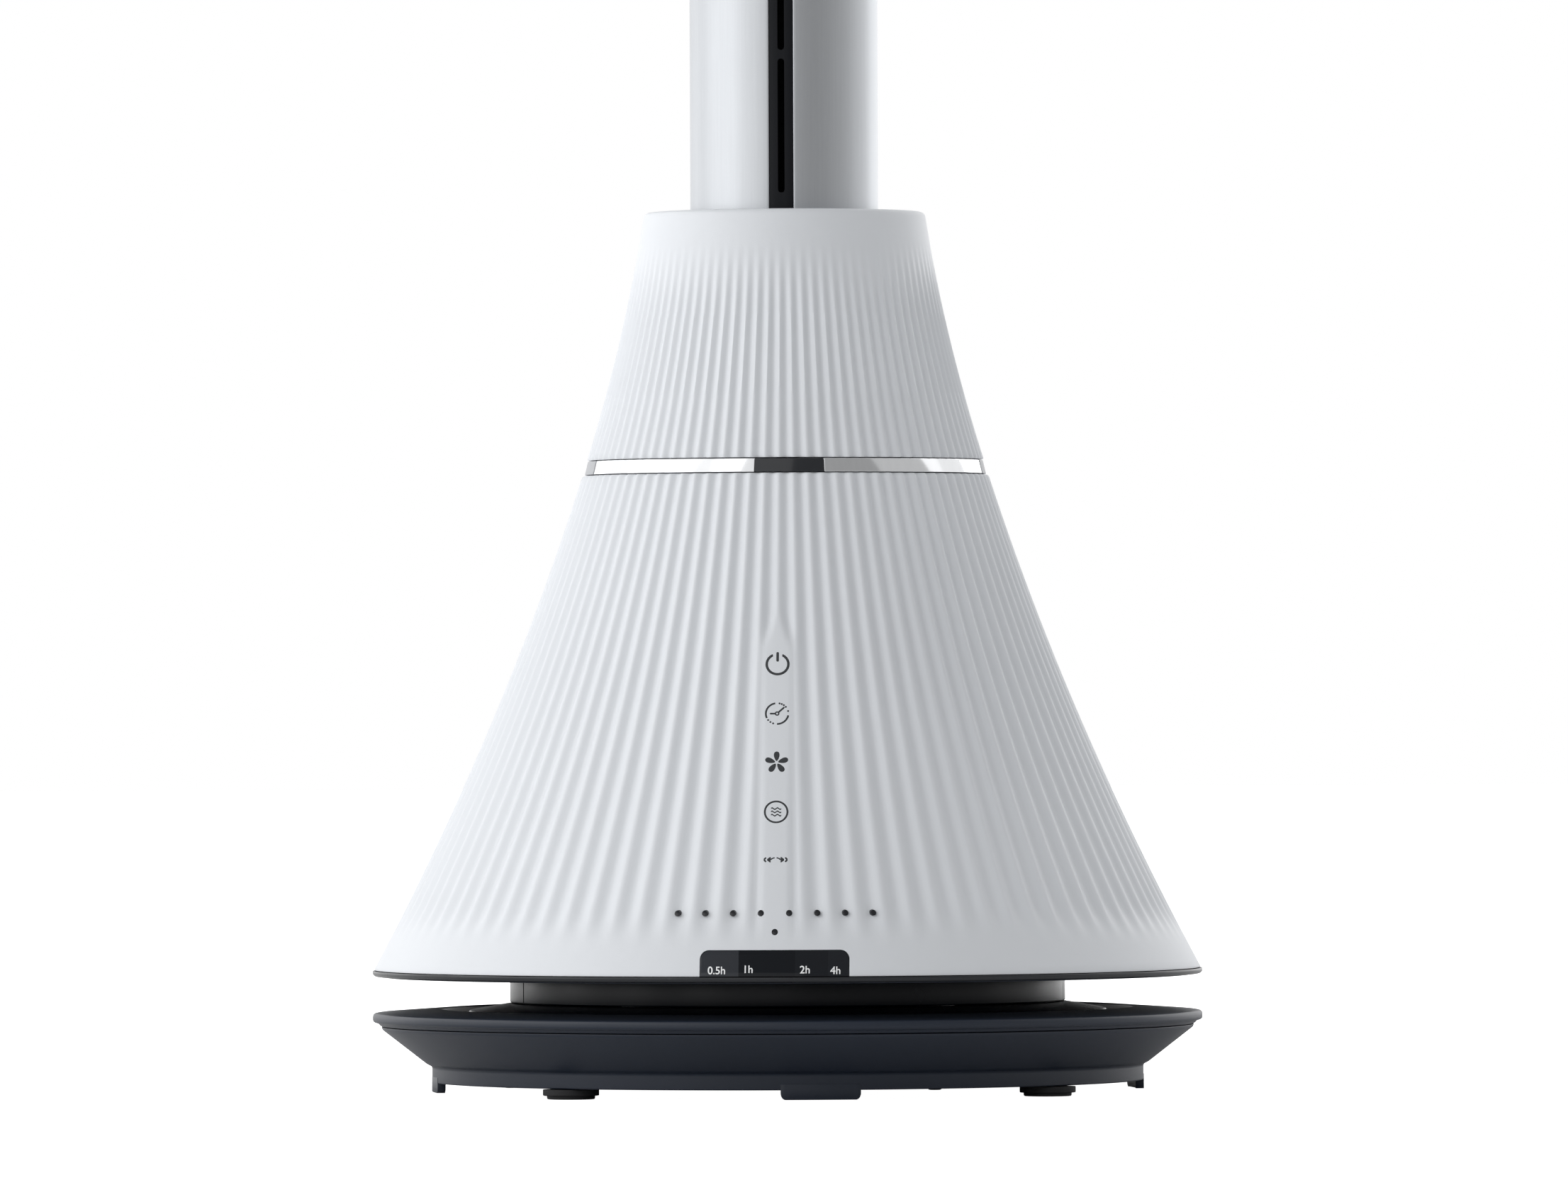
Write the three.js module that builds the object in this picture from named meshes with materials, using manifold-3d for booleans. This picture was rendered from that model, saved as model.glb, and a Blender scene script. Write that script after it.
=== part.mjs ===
// Bladeless tower fan: a round weighted base, a fluted cone that swings on it and draws air in
// underneath, and a slim aluminium column with a row of air slots.
// Millimetres, +Z up, origin on the floor under the middle of the base, front towards -Y.
import * as THREE from "three";
import { mergeVertices } from "three/addons/utils/BufferGeometryUtils.js";
import Module from "manifold-3d";

const wasm = await Module();
wasm.setup();

// ---------------------------------------------------------------- driving dimensions
const SIDES = 32; // facets of a large round piece
const INNER_SIDES = 16; // facets of a small or hidden round piece
const GAP = 0.3; // left between pieces that touch or run on each other
const WALL = 2.6; // moulded wall of the housings

const TOTAL_HEIGHT = 1020;
const REST_SWING = -7; // degrees: the fan stands turned a little off the middle of its swing

const BASE = { radius: 150, underside: 24.2, rimLow: 25.6, rimHigh: 28.7, top: 30.4 };
const RECESS = { inner: 116, outer: 125, floor: 27.2 };
const WELL = { floor: 22.4, underside: 20.0 };
const PAN = { skirtRadius: 128.6, skirtLow: 3.8, skirtHigh: 9.6, rim: 146.9, floor: 5.0, thick: 2.4 };
const TAB = { width: 28.6, thick: 3, bottom: 0.4, count: 4 };
const FOOT = { orbit: 120.4, tread: 8.5, flange: 10, step: 1.2, stem: 4.5, count: 4 };
const SCREW = { orbit: 112, head: 3, shank: 1.4, length: 12, firstAngle: 22.5, count: 4 };
const BALLAST = { inner: 45, outer: 106, thick: 6 };
const HUB = { bore: 10, radius: 17.7, flange: 30, top: 40.5 };
const INLET = { width: 14, height: 10, back: 119.5, face: 136, low: 10.5, across: 7, depth: 9 };

const TURNTABLE = { radius: 115.3, under: 24.4, edge: 29.7, shoulder: 32.3, well: 58 };
const NECK = { radius: 100.4, top: 41.5 };
const TRIM = { inner: 146.7, low: 42.1, high: 44.1 };
const GRILLE = { inner: 94, outer: 146.4, low: 41.8, high: 43.8, slots: 24, slotWidth: 3.4 };

// Outline of a flared shell: radius at its top edge, slope there, and how fast the slope grows.
const LOWER = { low: 44.4, high: 222.6, radius: 73.5, slope: 0.32, bend: 0.000598 };
const UPPER = { low: 228.2, high: 316.9, radius: 50.9, slope: 0.155, bend: 0.000909 };
const UPPER_CROWN = 320.1; // where the sloping top meets the column

const BAND = { low: 222.9, high: 227.9, inner: 68.9, turn: 2.9, fromAngle: -73.1, toAngle: 76.4 };
const IR_WINDOW = { halfAngle: 10, thick: 1.2 };
const DISPLAY = { width: 53, high: 53.5 };
const DOT = { radius: 1, count: 8, pitchAngle: 4.15, height: 66.5, statusHeight: 59.9 };

const COLUMN = { radius: 34, wall: 2.2, bottom: 286, top: 1008 };
const STRIP = { width: 8.5, recess: 0.6, thick: 2.4, slotWidth: 2.4, slotLength: 48.2, bridge: 3.1 };
const STRIP_SLOTS = 13;
const FIRST_SLOT = UPPER_CROWN + 3.8;

const MODULE = 1.5; // size of the gear teeth
const GEAR_TEETH = 48;
const PINION_TEETH = 12;
const PINION_ANGLE = 180; // degrees from +X in the swinging body
const GEAR_WIDTH = 5.4;
const BACKLASH = 0.5;

const SHAFT_RADIUS = 3;
const IMPELLER = { blades: 9, low: 131, high: 158, twist: 40, blade: 2 };
const DIFFUSER = { vanes: 9, low: 166, high: 211.7, bucket: 34, ring: 60, twist: -22 };

// ---------------------------------------------------------------- materials
function finish(color, roughness, metalness = 0) {
  return new THREE.MeshStandardMaterial({ color, roughness, metalness });
}
const WHITE = finish(0xe9ebee, 0.5);
const BLACK = finish(0x2a2d33, 0.45);
const BLACK_GLOSS = finish(0x15181d, 0.15);
const RUBBER = finish(0x1c1d1f, 0.9);
const CHROME = finish(0xd8dadd, 0.12, 1);
const GREY = finish(0x8f9398, 0.4);
const ALUMINIUM = finish(0xc4c7cb, 0.35, 1);
const STEEL = finish(0x8a8d90, 0.35, 1);
const NYLON = finish(0xdedbd0, 0.55);
const BOARD = finish(0x1d5c3a, 0.5);
const COPPER = finish(0xb06a3a, 0.4, 1);
const FOAM = finish(0x3a3c3f, 0.95);
const CLEAR = finish(0xdfe8ee, 0.2);

// ---------------------------------------------------------------- shape helpers
const degrees = THREE.MathUtils.degToRad;

// A solid of revolution about Z from [radius, height] points. A profile that is off the axis
// closes on itself, and the facets start at the front.
function turned(profile, sides = SIDES) {
  let area = 0;
  profile.forEach(([r, z], i) => {
    const [nextR, nextZ] = profile[(i + 1) % profile.length];
    area += r * nextZ - nextR * z;
  });
  const points = profile.map(([r, z]) => new THREE.Vector2(r, z));
  if (area < 0) points.reverse();
  const onAxis = points.filter((p) => p.x === 0);
  if (onAxis.length === 0) {
    points.push(points[0].clone());
  } else {
    while (!(points[0].x === 0 && points.at(-1).x === 0)) points.push(points.shift());
  }
  return new THREE.LatheGeometry(points, sides).rotateX(Math.PI / 2);
}

// A plain tube about Z between two radii and two heights.
function tube(inner, outer, low, high, sides = SIDES) {
  return turned([[inner, low], [outer, low], [outer, high], [inner, high]], sides);
}

// A closed cylinder or prism about Z.
function rod(radius, low, high, sides = INNER_SIDES) {
  return turned([[0, low], [radius, low], [radius, high], [0, high]], sides);
}

// A box from its lowest to its highest corner.
function block([x0, y0, z0], [x1, y1, z1]) {
  const geometry = new THREE.BoxGeometry(x1 - x0, y1 - y0, z1 - z0);
  return geometry.translate((x0 + x1) / 2, (y0 + y1) / 2, (z0 + z1) / 2);
}

// A flat outline of [x, y] points, with holes, raised from one height to another.
function raised(outline, low, high, holes = []) {
  const shape = new THREE.Shape(outline.map(([x, y]) => new THREE.Vector2(x, y)));
  shape.holes = holes.map((hole) => new THREE.Path(hole.map(([x, y]) => new THREE.Vector2(x, y))));
  const geometry = new THREE.ExtrudeGeometry(shape, { depth: high - low, bevelEnabled: false });
  return geometry.translate(0, 0, low);
}

// The points of a circle in the plane.
function circle(radius, sides) {
  return Array.from({ length: sides }, (_, i) => {
    const angle = (i / sides) * 2 * Math.PI;
    return [radius * Math.cos(angle), radius * Math.sin(angle)];
  });
}

// A closed skin through rings of equally many points, with both ends capped.
function lofted(rings) {
  const count = rings[0].length;
  const positions = rings.flat().flatMap((p) => [p.x, p.y, p.z]);
  const index = [];
  for (let ring = 0; ring + 1 < rings.length; ring += 1) {
    for (let i = 0; i < count; i += 1) {
      const a = ring * count + i;
      const b = ring * count + ((i + 1) % count);
      index.push(a, b, b + count, a, b + count, a + count);
    }
  }
  const last = (rings.length - 1) * count;
  for (let i = 1; i + 1 < count; i += 1) {
    index.push(0, i + 1, i, last, last + i, last + i + 1);
  }
  const geometry = new THREE.BufferGeometry();
  geometry.setAttribute("position", new THREE.Float32BufferAttribute(positions, 3));
  geometry.setIndex(index);
  return geometry;
}

// A geometry as a solid that can be joined and cut.
function solid(geometry) {
  const plain = geometry.clone();
  plain.deleteAttribute("normal");
  plain.deleteAttribute("uv");
  const merged = mergeVertices(plain, 1e-4);
  return new wasm.Manifold(
    new wasm.Mesh({
      numProp: 3,
      vertProperties: merged.attributes.position.array,
      triVerts: new Uint32Array(merged.index.array),
    }),
  );
}

// A solid back as a geometry.
function surface(body) {
  const mesh = body.getMesh();
  const geometry = new THREE.BufferGeometry();
  geometry.setAttribute("position", new THREE.Float32BufferAttribute(mesh.vertProperties, 3));
  geometry.setIndex(Array.from(mesh.triVerts));
  geometry.computeVertexNormals();
  return geometry;
}

const joined = (first, ...others) => surface(others.reduce((body, g) => body.add(solid(g)), solid(first)));
const cut = (first, ...tools) => surface(tools.reduce((body, g) => body.subtract(solid(g)), solid(first)));
const common = (first, second) => surface(solid(first).intersect(solid(second)));

// Copies of a geometry turned about Z, evenly spaced from a first angle.
function around(geometry, count, firstAngle = 0) {
  return Array.from({ length: count }, (_, i) =>
    geometry.clone().rotateZ(degrees(firstAngle + (i * 360) / count)),
  );
}

// The wedge between two angles, measured from the front towards +X, big enough to cut any piece.
function wedge(fromAngle, toAngle) {
  const reach = 400;
  const steps = 6;
  const outline = [[0, 0]];
  for (let i = 0; i <= steps; i += 1) {
    const angle = degrees(fromAngle + ((toAngle - fromAngle) * i) / steps);
    outline.push([reach * Math.sin(angle), -reach * Math.cos(angle)]);
  }
  return raised(outline, -10, TOTAL_HEIGHT);
}

// A rod lying along the radius at an angle from the front, between two distances from the axis.
function spoke(radius, inner, outer, height, angle, sides = 10) {
  const pin = rod(radius, inner, outer, sides).rotateX(Math.PI / 2);
  return pin.translate(0, 0, height).rotateZ(degrees(angle));
}

// Radius of a flared shell's outside at a height.
function flareRadius(flare, height) {
  const drop = flare.high - height;
  return flare.radius + flare.slope * drop + flare.bend * drop * drop;
}

// [radius, height] points down a flared shell's outside, moved in by an inset.
function flareLine(flare, low, high, steps, inset = 0) {
  return Array.from({ length: steps + 1 }, (_, i) => {
    const height = low + ((high - low) * i) / steps;
    return [flareRadius(flare, height) - inset, height];
  });
}

// ---------------------------------------------------------------- gears
// Outline of a spur gear with straight-sided teeth that follow an involute at root and tip,
// the middle of one tooth on +X.
function gearOutline(teeth) {
  const pitch = (MODULE * teeth) / 2;
  const pressure = degrees(20);
  const base = pitch * Math.cos(pressure);
  const root = pitch - 1.25 * MODULE;
  const tip = pitch + 0.85 * MODULE;
  const involute = (angle) => Math.tan(angle) - angle;
  const halfTooth = (radius) => {
    const angle = radius > base ? Math.acos(base / radius) : 0;
    return Math.PI / (2 * teeth) - BACKLASH / 4 / pitch + involute(pressure) - involute(angle);
  };
  const radii = base > root + 0.2 ? [root, base, tip] : [root, tip];
  const outline = [];
  for (let tooth = 0; tooth < teeth; tooth += 1) {
    const middle = (tooth / teeth) * 2 * Math.PI;
    const rise = radii.map((radius) => [radius, middle - halfTooth(radius)]);
    const fall = radii.map((radius) => [radius, middle + halfTooth(radius)]).reverse();
    outline.push(...rise, ...fall);
  }
  return outline.map(([radius, angle]) => [radius * Math.cos(angle), radius * Math.sin(angle)]);
}

const GEAR_LOW = WELL.floor + GAP;
const PINION_ORBIT = (MODULE * (GEAR_TEETH + PINION_TEETH)) / 2;
const MOTOR_FLOOR = TURNTABLE.shoulder - 0.1; // top of the raised middle of the turntable

// ---------------------------------------------------------------- the base, which stands still
function basePlate() {
  const plate = turned([
    [HUB.radius + 0.5, WELL.underside],
    [RECESS.inner + WALL, WELL.underside],
    [RECESS.inner + WALL, BASE.underside + 0.6],
    [PAN.rim + GAP, BASE.underside],
    [BASE.radius, BASE.rimLow],
    [BASE.radius, BASE.rimHigh - 0.5],
    [BASE.radius - 0.9, BASE.rimHigh],
    [RECESS.outer + 0.5, BASE.top],
    [RECESS.outer, RECESS.floor],
    [RECESS.inner, RECESS.floor],
    [RECESS.inner, WELL.floor],
    [HUB.radius + 0.5, WELL.floor],
  ]);
  const bossLow = PAN.floor + PAN.thick + GAP;
  const boss = tube(SCREW.shank + GAP, 4, bossLow, WELL.underside + 0.5, 12);
  const bosses = around(boss.translate(SCREW.orbit, 0, 0), SCREW.count, SCREW.firstAngle);
  return joined(plate, ...bosses);
}

function basePan() {
  const top = PAN.floor + PAN.thick;
  const inner = PAN.skirtRadius - WALL;
  const shell = turned([
    [0, PAN.floor],
    [inner, PAN.floor],
    [inner, PAN.skirtLow],
    [PAN.skirtRadius, PAN.skirtLow],
    [PAN.skirtRadius, PAN.skirtHigh],
    [PAN.rim, BASE.underside - 0.9],
    [PAN.rim, BASE.underside - GAP],
    [PAN.rim - 3.3, BASE.underside - GAP],
    [inner, PAN.skirtHigh + 1],
    [inner, top],
    [0, top],
  ]);
  const tabRing = tube(PAN.skirtRadius - TAB.thick, PAN.skirtRadius, TAB.bottom, PAN.floor + 1);
  const half = TAB.width / 2;
  const tabs = around(block([-half, -200, 0], [half, -100, 20]), TAB.count).map((window) =>
    common(tabRing, window),
  );
  const notch = block(
    [-INLET.width / 2 - GAP, INLET.back - GAP, INLET.low - GAP],
    [INLET.width / 2 + GAP, BASE.radius, INLET.low + INLET.height + GAP],
  );
  const hole = rod(SCREW.shank + 0.4, 0, 20, 8).translate(SCREW.orbit, 0, 0);
  return cut(joined(shell, ...tabs), notch, ...around(hole, SCREW.count, SCREW.firstAngle));
}

function foot() {
  return turned(
    [
      [0, 0],
      [FOOT.tread, 0],
      [FOOT.tread, FOOT.step],
      [FOOT.flange, FOOT.step],
      [FOOT.flange, PAN.skirtLow - GAP],
      [FOOT.stem, PAN.skirtLow - GAP],
      [FOOT.stem, PAN.floor - GAP],
      [0, PAN.floor - GAP],
    ],
    INNER_SIDES,
  );
}

function panScrew() {
  const seat = PAN.floor - GAP;
  return turned(
    [
      [0, seat - 1.7],
      [SCREW.head, seat - 1.7],
      [SCREW.head, seat],
      [SCREW.shank, seat],
      [SCREW.shank, seat + SCREW.length],
      [0, seat + SCREW.length],
    ],
    12,
  );
}

function pivotHub() {
  const low = WELL.underside - GAP - 2.4;
  return turned(
    [
      [HUB.bore, low],
      [HUB.flange, low],
      [HUB.flange, WELL.underside - GAP],
      [HUB.radius, WELL.underside - GAP],
      [HUB.radius, HUB.top],
      [HUB.bore, HUB.top],
    ],
    INNER_SIDES,
  );
}

function swingGear() {
  const turn = degrees(PINION_ANGLE + REST_SWING);
  const gear = raised(gearOutline(GEAR_TEETH), GEAR_LOW, GEAR_LOW + GEAR_WIDTH, [circle(HUB.radius + 0.6, 20)]);
  return gear.rotateZ(turn);
}

function dcInlet() {
  const half = INLET.width / 2;
  const body = block([-half, INLET.back, INLET.low], [half, INLET.face, INLET.low + INLET.height]);
  const corner = INLET.across / 2 / Math.cos(Math.PI / 8);
  const socket = rod(corner, INLET.face - INLET.depth, INLET.face + 5, 8);
  socket.rotateZ(Math.PI / 8).rotateX(-Math.PI / 2);
  return cut(body, socket.translate(0, 0, INLET.low + INLET.height / 2));
}

// ---------------------------------------------------------------- the swinging body's floor
function turntable() {
  const { radius, under, edge, shoulder, well } = TURNTABLE;
  const inner = HUB.radius + 0.7;
  const disc = turned([
    [inner, MOTOR_FLOOR - WALL],
    [well, MOTOR_FLOOR - WALL],
    [well, under],
    [radius, under],
    [radius, edge],
    [NECK.radius + 0.3, shoulder],
    [NECK.radius - 3, shoulder],
    [NECK.radius - 3, under + WALL],
    [well + WALL, under + WALL],
    [well + WALL, MOTOR_FLOOR],
    [inner + 3.1, MOTOR_FLOOR],
    [inner + 3.1, 36],
    [inner, 36],
  ]);
  return cut(disc, rod(4, 20, 40, 12).translate(-PINION_ORBIT, 0, 0));
}

function swingPinion() {
  const gear = raised(gearOutline(PINION_TEETH), GEAR_LOW + 0.4, GEAR_LOW + GEAR_WIDTH - 0.4);
  gear.rotateZ(Math.PI / PINION_TEETH);
  return joined(gear, rod(2.5, GEAR_LOW + 2, MOTOR_FLOOR + 10, 12));
}

function stepperMotor() {
  const low = MOTOR_FLOOR + GAP;
  return turned([[3, low], [17.5, low], [17.5, low + 18], [0, low + 18], [0, low + 12], [3, low + 12]], INNER_SIDES);
}

function intakeGrille() {
  const { inner, outer, low, high, slots, slotWidth } = GRILLE;
  const slot = block([-slotWidth / 2, -outer + 3, low - 1], [slotWidth / 2, -NECK.radius - 5, high + 1]);
  return cut(tube(inner, outer, low, high), ...around(slot, slots));
}

// ---------------------------------------------------------------- the fluted housing
function lowerCone() {
  const shell = turned([
    ...flareLine(LOWER, LOWER.low, LOWER.high, 4),
    ...flareLine(LOWER, LOWER.low, LOWER.high, 2, WALL).reverse(),
  ]);
  const half = DISPLAY.width / 2;
  const notch = block([-half, -200, LOWER.low - 5], [half, -100, DISPLAY.high + GAP]);
  const holes = dotAngles().map((angle) => spoke(DOT.radius + GAP, 120, 160, DOT.height, angle, 8));
  const statusHole = spoke(DOT.radius + GAP, 120, 160, DOT.statusHeight, 0, 8);
  return cut(shell, notch, statusHole, ...holes);
}

function dotAngles() {
  return Array.from({ length: DOT.count }, (_, i) => (i - (DOT.count - 1) / 2) * DOT.pitchAngle);
}

function displayWindow() {
  const outside = flareLine(LOWER, LOWER.low, DISPLAY.high, 2, 0.2);
  const inside = flareLine(LOWER, LOWER.low, DISPLAY.high, 1, 2.2).reverse();
  const half = DISPLAY.width / 2 - GAP;
  return common(turned([...outside, ...inside]), block([-half, -200, 0], [half, -100, 100]));
}

function lightGuide() {
  const inside = flareRadius(LOWER, DOT.height + 2) - WALL - 0.8;
  const bar = common(tube(inside - 3, inside, DOT.height - 2, DOT.height + 2), wedge(-16, 16));
  const tip = flareRadius(LOWER, DOT.height) - 0.3;
  const pins = dotAngles().map((angle) => spoke(DOT.radius, inside - 1.5, tip, DOT.height, angle, 8));
  return joined(bar, ...pins);
}

function statusLight() {
  const tip = flareRadius(LOWER, DOT.statusHeight) - 0.3;
  const pin = turned([[0, 134.9], [2.4, 134.9], [2.4, 137], [DOT.radius, 137], [DOT.radius, tip], [0, tip]], 8);
  return pin.rotateX(Math.PI / 2).translate(0, 0, DOT.statusHeight);
}

function displayBoard() {
  return block([-30, -134.6, 45], [30, -133, 56]);
}

function touchBoard() {
  const [low, high] = [80, 162];
  const [lowRadius, highRadius] = [flareRadius(LOWER, low), flareRadius(LOWER, high)];
  const lean = Math.atan2(lowRadius - highRadius, high - low);
  const board = new THREE.BoxGeometry(14, 1.6, Math.hypot(lowRadius - highRadius, high - low));
  const middle = flareRadius(LOWER, (low + high) / 2) - WALL - 1.5;
  return board.rotateX(-lean).translate(0, -middle, (low + high) / 2);
}

function bandRing() {
  return turned([
    [BAND.inner, BAND.low],
    [72.6, BAND.low],
    [71.4, BAND.high],
    [BAND.inner, BAND.high],
  ]);
}

function bandFront() {
  const pocketTube = turned([[70.2, BAND.low - 1], [80, BAND.low - 1], [80, BAND.high + 1], [70.2, BAND.high + 1]]);
  const pocket = common(pocketTube, wedge(-IR_WINDOW.halfAngle, IR_WINDOW.halfAngle));
  return cut(common(bandRing(), wedge(BAND.fromAngle, BAND.toAngle)), pocket);
}

function bandRear() {
  return common(bandRing(), wedge(BAND.toAngle + 0.8, BAND.fromAngle + 360 - 0.8));
}

function irWindow() {
  const lens = turned([
    [70.5, BAND.low + 0.1],
    [72.5, BAND.low + 0.1],
    [71.4, BAND.high - 0.1],
    [70.5, BAND.high - 0.1],
  ]);
  return common(lens, wedge(-IR_WINDOW.halfAngle + 0.3, IR_WINDOW.halfAngle - 0.3));
}

function mountingRing() {
  const ring = turned([
    [60, 217.5],
    [67.8, 217.5],
    [67.8, 231],
    [66.2, 231],
    [66.2, 219.9],
    [60, 219.9],
  ], 32);
  return cut(ring, block([-4.5, -80, 221.8], [4.5, -50, 229]).rotateZ(degrees(BAND.turn)));
}

function upperCone() {
  const { low, high, radius } = UPPER;
  const bore = COLUMN.radius + 0.4;
  return turned([
    ...flareLine(UPPER, low, high - 1, 3),
    [radius - 0.7, high + 0.4],
    [bore, UPPER_CROWN],
    [bore, UPPER_CROWN - WALL],
    [radius - WALL - 0.6, high - WALL],
    ...flareLine(UPPER, low, high - WALL - 4, 2, WALL).reverse(),
  ]);
}

// ---------------------------------------------------------------- the air path inside
function impellerShroud() {
  const outside = [[72, 99], [59.5, 107], [58, 128], [62.3, 165], [62.3, 212], [66, 212], [66, 214.4]];
  const inside = [[60.3, 214.4], [60.3, 165], [56, 128], [57.3, 106], [71, 97.2]];
  return turned([...outside, ...inside], 24);
}

function impeller() {
  const hub = turned(
    [
      [SHAFT_RADIUS + GAP, 124],
      [10, 124],
      [16, 131],
      [31, 160],
      [31, 163.5],
      [28.5, 163.5],
      [13, 134.5],
      [8, 134.5],
      [8, 162],
      [SHAFT_RADIUS + GAP, 162],
    ],
    2 * IMPELLER.blades,
  );
  const stations = 2;
  const rings = Array.from({ length: stations + 1 }, (_, i) => {
    const step = i / stations;
    const height = IMPELLER.low + (IMPELLER.high - IMPELLER.low) * step;
    const turn = IMPELLER.twist * step;
    return bladeSection(13.4 + 14 * step, 54.6 + 3.6 * step, height, turn, IMPELLER.blade);
  });
  const blades = around(lofted(rings), IMPELLER.blades, 5);
  return joined(hub, ...blades);
}

// The four corners of a blade's or vane's section at a height, from an inner to an outer radius.
function bladeSection(inner, outer, height, angle, thick) {
  const half = thick / 2;
  const turn = degrees(angle);
  const corners = [[inner, -half], [outer, -half], [outer, half], [inner, half]];
  return corners.map(([x, y]) => new THREE.Vector3(
    x * Math.cos(turn) - y * Math.sin(turn),
    x * Math.sin(turn) + y * Math.cos(turn),
    height,
  ));
}

function diffuser() {
  const { vanes, low, high, bucket, ring, twist } = DIFFUSER;
  const nose = turned(
    [[bucket - 2, low], [bucket, low], [bucket, 206], [24, 219], [0, 226], [0, 223.5], [23, 216.6], [bucket - 2, 205]],
    24,
  );
  const outer = tube(ring - 2.2, ring, low, high, 24);
  const rings = [0, 0.5, 1].map((step) =>
    bladeSection(bucket - 1, ring - 1, low + 6 + 32 * step, twist * step * (2 - step), 1.8),
  );
  return joined(nose, outer, ...around(lofted(rings), vanes));
}

function motorBracket() {
  return turned([[9.8, 176], [12, 176], [12, 200], [30, 200], [30, 202.4], [9.8, 202.4]], INNER_SIDES);
}

function motorStator() {
  const yoke = tube(12.3, 16, 180, 196, 18);
  const poles = around(block([15, -4, 180], [23.8, 4, 196]), 9);
  return joined(yoke, ...poles);
}

function motorRotor() {
  const low = 169;
  return turned(
    [[SHAFT_RADIUS + GAP, low], [28.5, low], [28.5, 198], [26, 198], [26, low + 2.4], [SHAFT_RADIUS + GAP, low + 2.4]],
    INNER_SIDES,
  );
}

function bearing(low) {
  return tube(SHAFT_RADIUS + GAP, 9.5, low, low + 6, INNER_SIDES);
}

function columnCollar() {
  return turned([
    [57, 220.2],
    [65.9, 220.2],
    [65.9, 222.4],
    [58.6, 222.4],
    [40, 280],
    [38.2, 286],
    [38.2, 313],
    [36, 313],
    [36, COLUMN.bottom - GAP],
    [32, COLUMN.bottom - GAP],
    [32, 283],
    [37.6, 279.6],
  ], 24);
}

// ---------------------------------------------------------------- the column
function columnTube() {
  const inner = COLUMN.radius - COLUMN.wall;
  const slot = STRIP.width / 2 + GAP;
  const sides = 32;
  const edge = (radius) => Math.asin(slot / radius);
  const arc = (radius, from, to) => Array.from({ length: sides + 1 }, (_, i) => {
    const angle = from + ((to - from) * i) / sides;
    return [radius * Math.sin(angle), -radius * Math.cos(angle)];
  });
  const outline = [
    ...arc(COLUMN.radius, edge(COLUMN.radius), 2 * Math.PI - edge(COLUMN.radius)),
    ...arc(inner, 2 * Math.PI - edge(inner), edge(inner)),
  ];
  return raised(outline, COLUMN.bottom, COLUMN.top);
}

function slotStrip() {
  const half = STRIP.width / 2;
  const [low, high] = [COLUMN.bottom, COLUMN.top];
  const pitch = STRIP.slotLength + STRIP.bridge;
  const slots = Array.from({ length: STRIP_SLOTS }, (_, i) => slotOutline(FIRST_SLOT + i * pitch));
  const depth = STRIP.thick;
  const strip = raised([[-half, low], [half, low], [half, high], [-half, high]], 0, depth, slots);
  const face = COLUMN.radius - STRIP.recess;
  return strip.rotateX(Math.PI / 2).translate(0, -face + depth, 0);
}

// A slot with round ends in the strip's own plane, from its lower end.
function slotOutline(low) {
  const radius = STRIP.slotWidth / 2;
  const high = low + STRIP.slotLength;
  const end = (middle, from) => [0, 1, 2, 3].map((i) => {
    const angle = degrees(from + i * 60);
    return [radius * Math.cos(angle), middle + radius * Math.sin(angle)];
  });
  return [...end(high - radius, 0), ...end(low + radius, 180)];
}

function topCap() {
  const radius = COLUMN.radius;
  const seat = COLUMN.top + GAP;
  return turned([
    [0, seat - 8],
    [27.5, seat - 8],
    [27.5, seat],
    [radius, seat],
    [radius, TOTAL_HEIGHT - 4],
    [radius - 3, TOTAL_HEIGHT - 1],
    [radius - 8, TOTAL_HEIGHT],
    [0, TOTAL_HEIGHT],
  ], 32);
}

function wiringLoom() {
  const route = new THREE.CatmullRomCurve3([
    new THREE.Vector3(0, 0, HUB.top + 1),
    new THREE.Vector3(0, 6, 56),
    new THREE.Vector3(4, 40, 62),
    new THREE.Vector3(6, 70, 66),
    new THREE.Vector3(6, 83.5, 72),
  ]);
  const section = new THREE.Shape(circle(2.5, 8).map(([x, y]) => new THREE.Vector2(x, y)));
  return new THREE.ExtrudeGeometry(section, { steps: 14, extrudePath: route });
}

// ---------------------------------------------------------------- assembly
const towerFan = new THREE.Group();
const base = new THREE.Group();
const fanBody = new THREE.Group();
const band = new THREE.Group();
towerFan.add(base, fanBody);
fanBody.add(band);
fanBody.rotation.z = degrees(REST_SWING);
band.rotation.z = degrees(BAND.turn);

function place(group, name, geometry, material, position = [0, 0, 0]) {
  const mesh = new THREE.Mesh(geometry, material);
  mesh.name = name;
  mesh.position.set(...position);
  group.add(mesh);
}

// A point at a distance from the axis and an angle from +X.
function polar(radius, angle) {
  return [radius * Math.cos(degrees(angle)), radius * Math.sin(degrees(angle)), 0];
}

place(base, "base_plate", basePlate(), BLACK);
place(base, "base_pan", basePan(), BLACK);
for (let i = 0; i < FOOT.count; i += 1) {
  place(base, `foot_${i + 1}`, foot(), RUBBER, polar(FOOT.orbit, 45 + 90 * i));
}
for (let i = 0; i < SCREW.count; i += 1) {
  place(base, `pan_screw_${i + 1}`, panScrew(), STEEL, polar(SCREW.orbit, SCREW.firstAngle + 90 * i));
}
const ballastLow = PAN.floor + PAN.thick + GAP;
place(base, "ballast_plate", tube(BALLAST.inner, BALLAST.outer, ballastLow, ballastLow + BALLAST.thick, 24), STEEL);
place(base, "pivot_hub", pivotHub(), STEEL);
place(base, "swing_gear", swingGear(), NYLON);
place(base, "slide_ring", tube(97, 108, WELL.floor + GAP, TURNTABLE.under - GAP, 32), NYLON);
place(base, "hub_retainer", tube(HUB.radius + GAP, 24, 36.3, 38.3, INNER_SIDES), STEEL);
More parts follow.
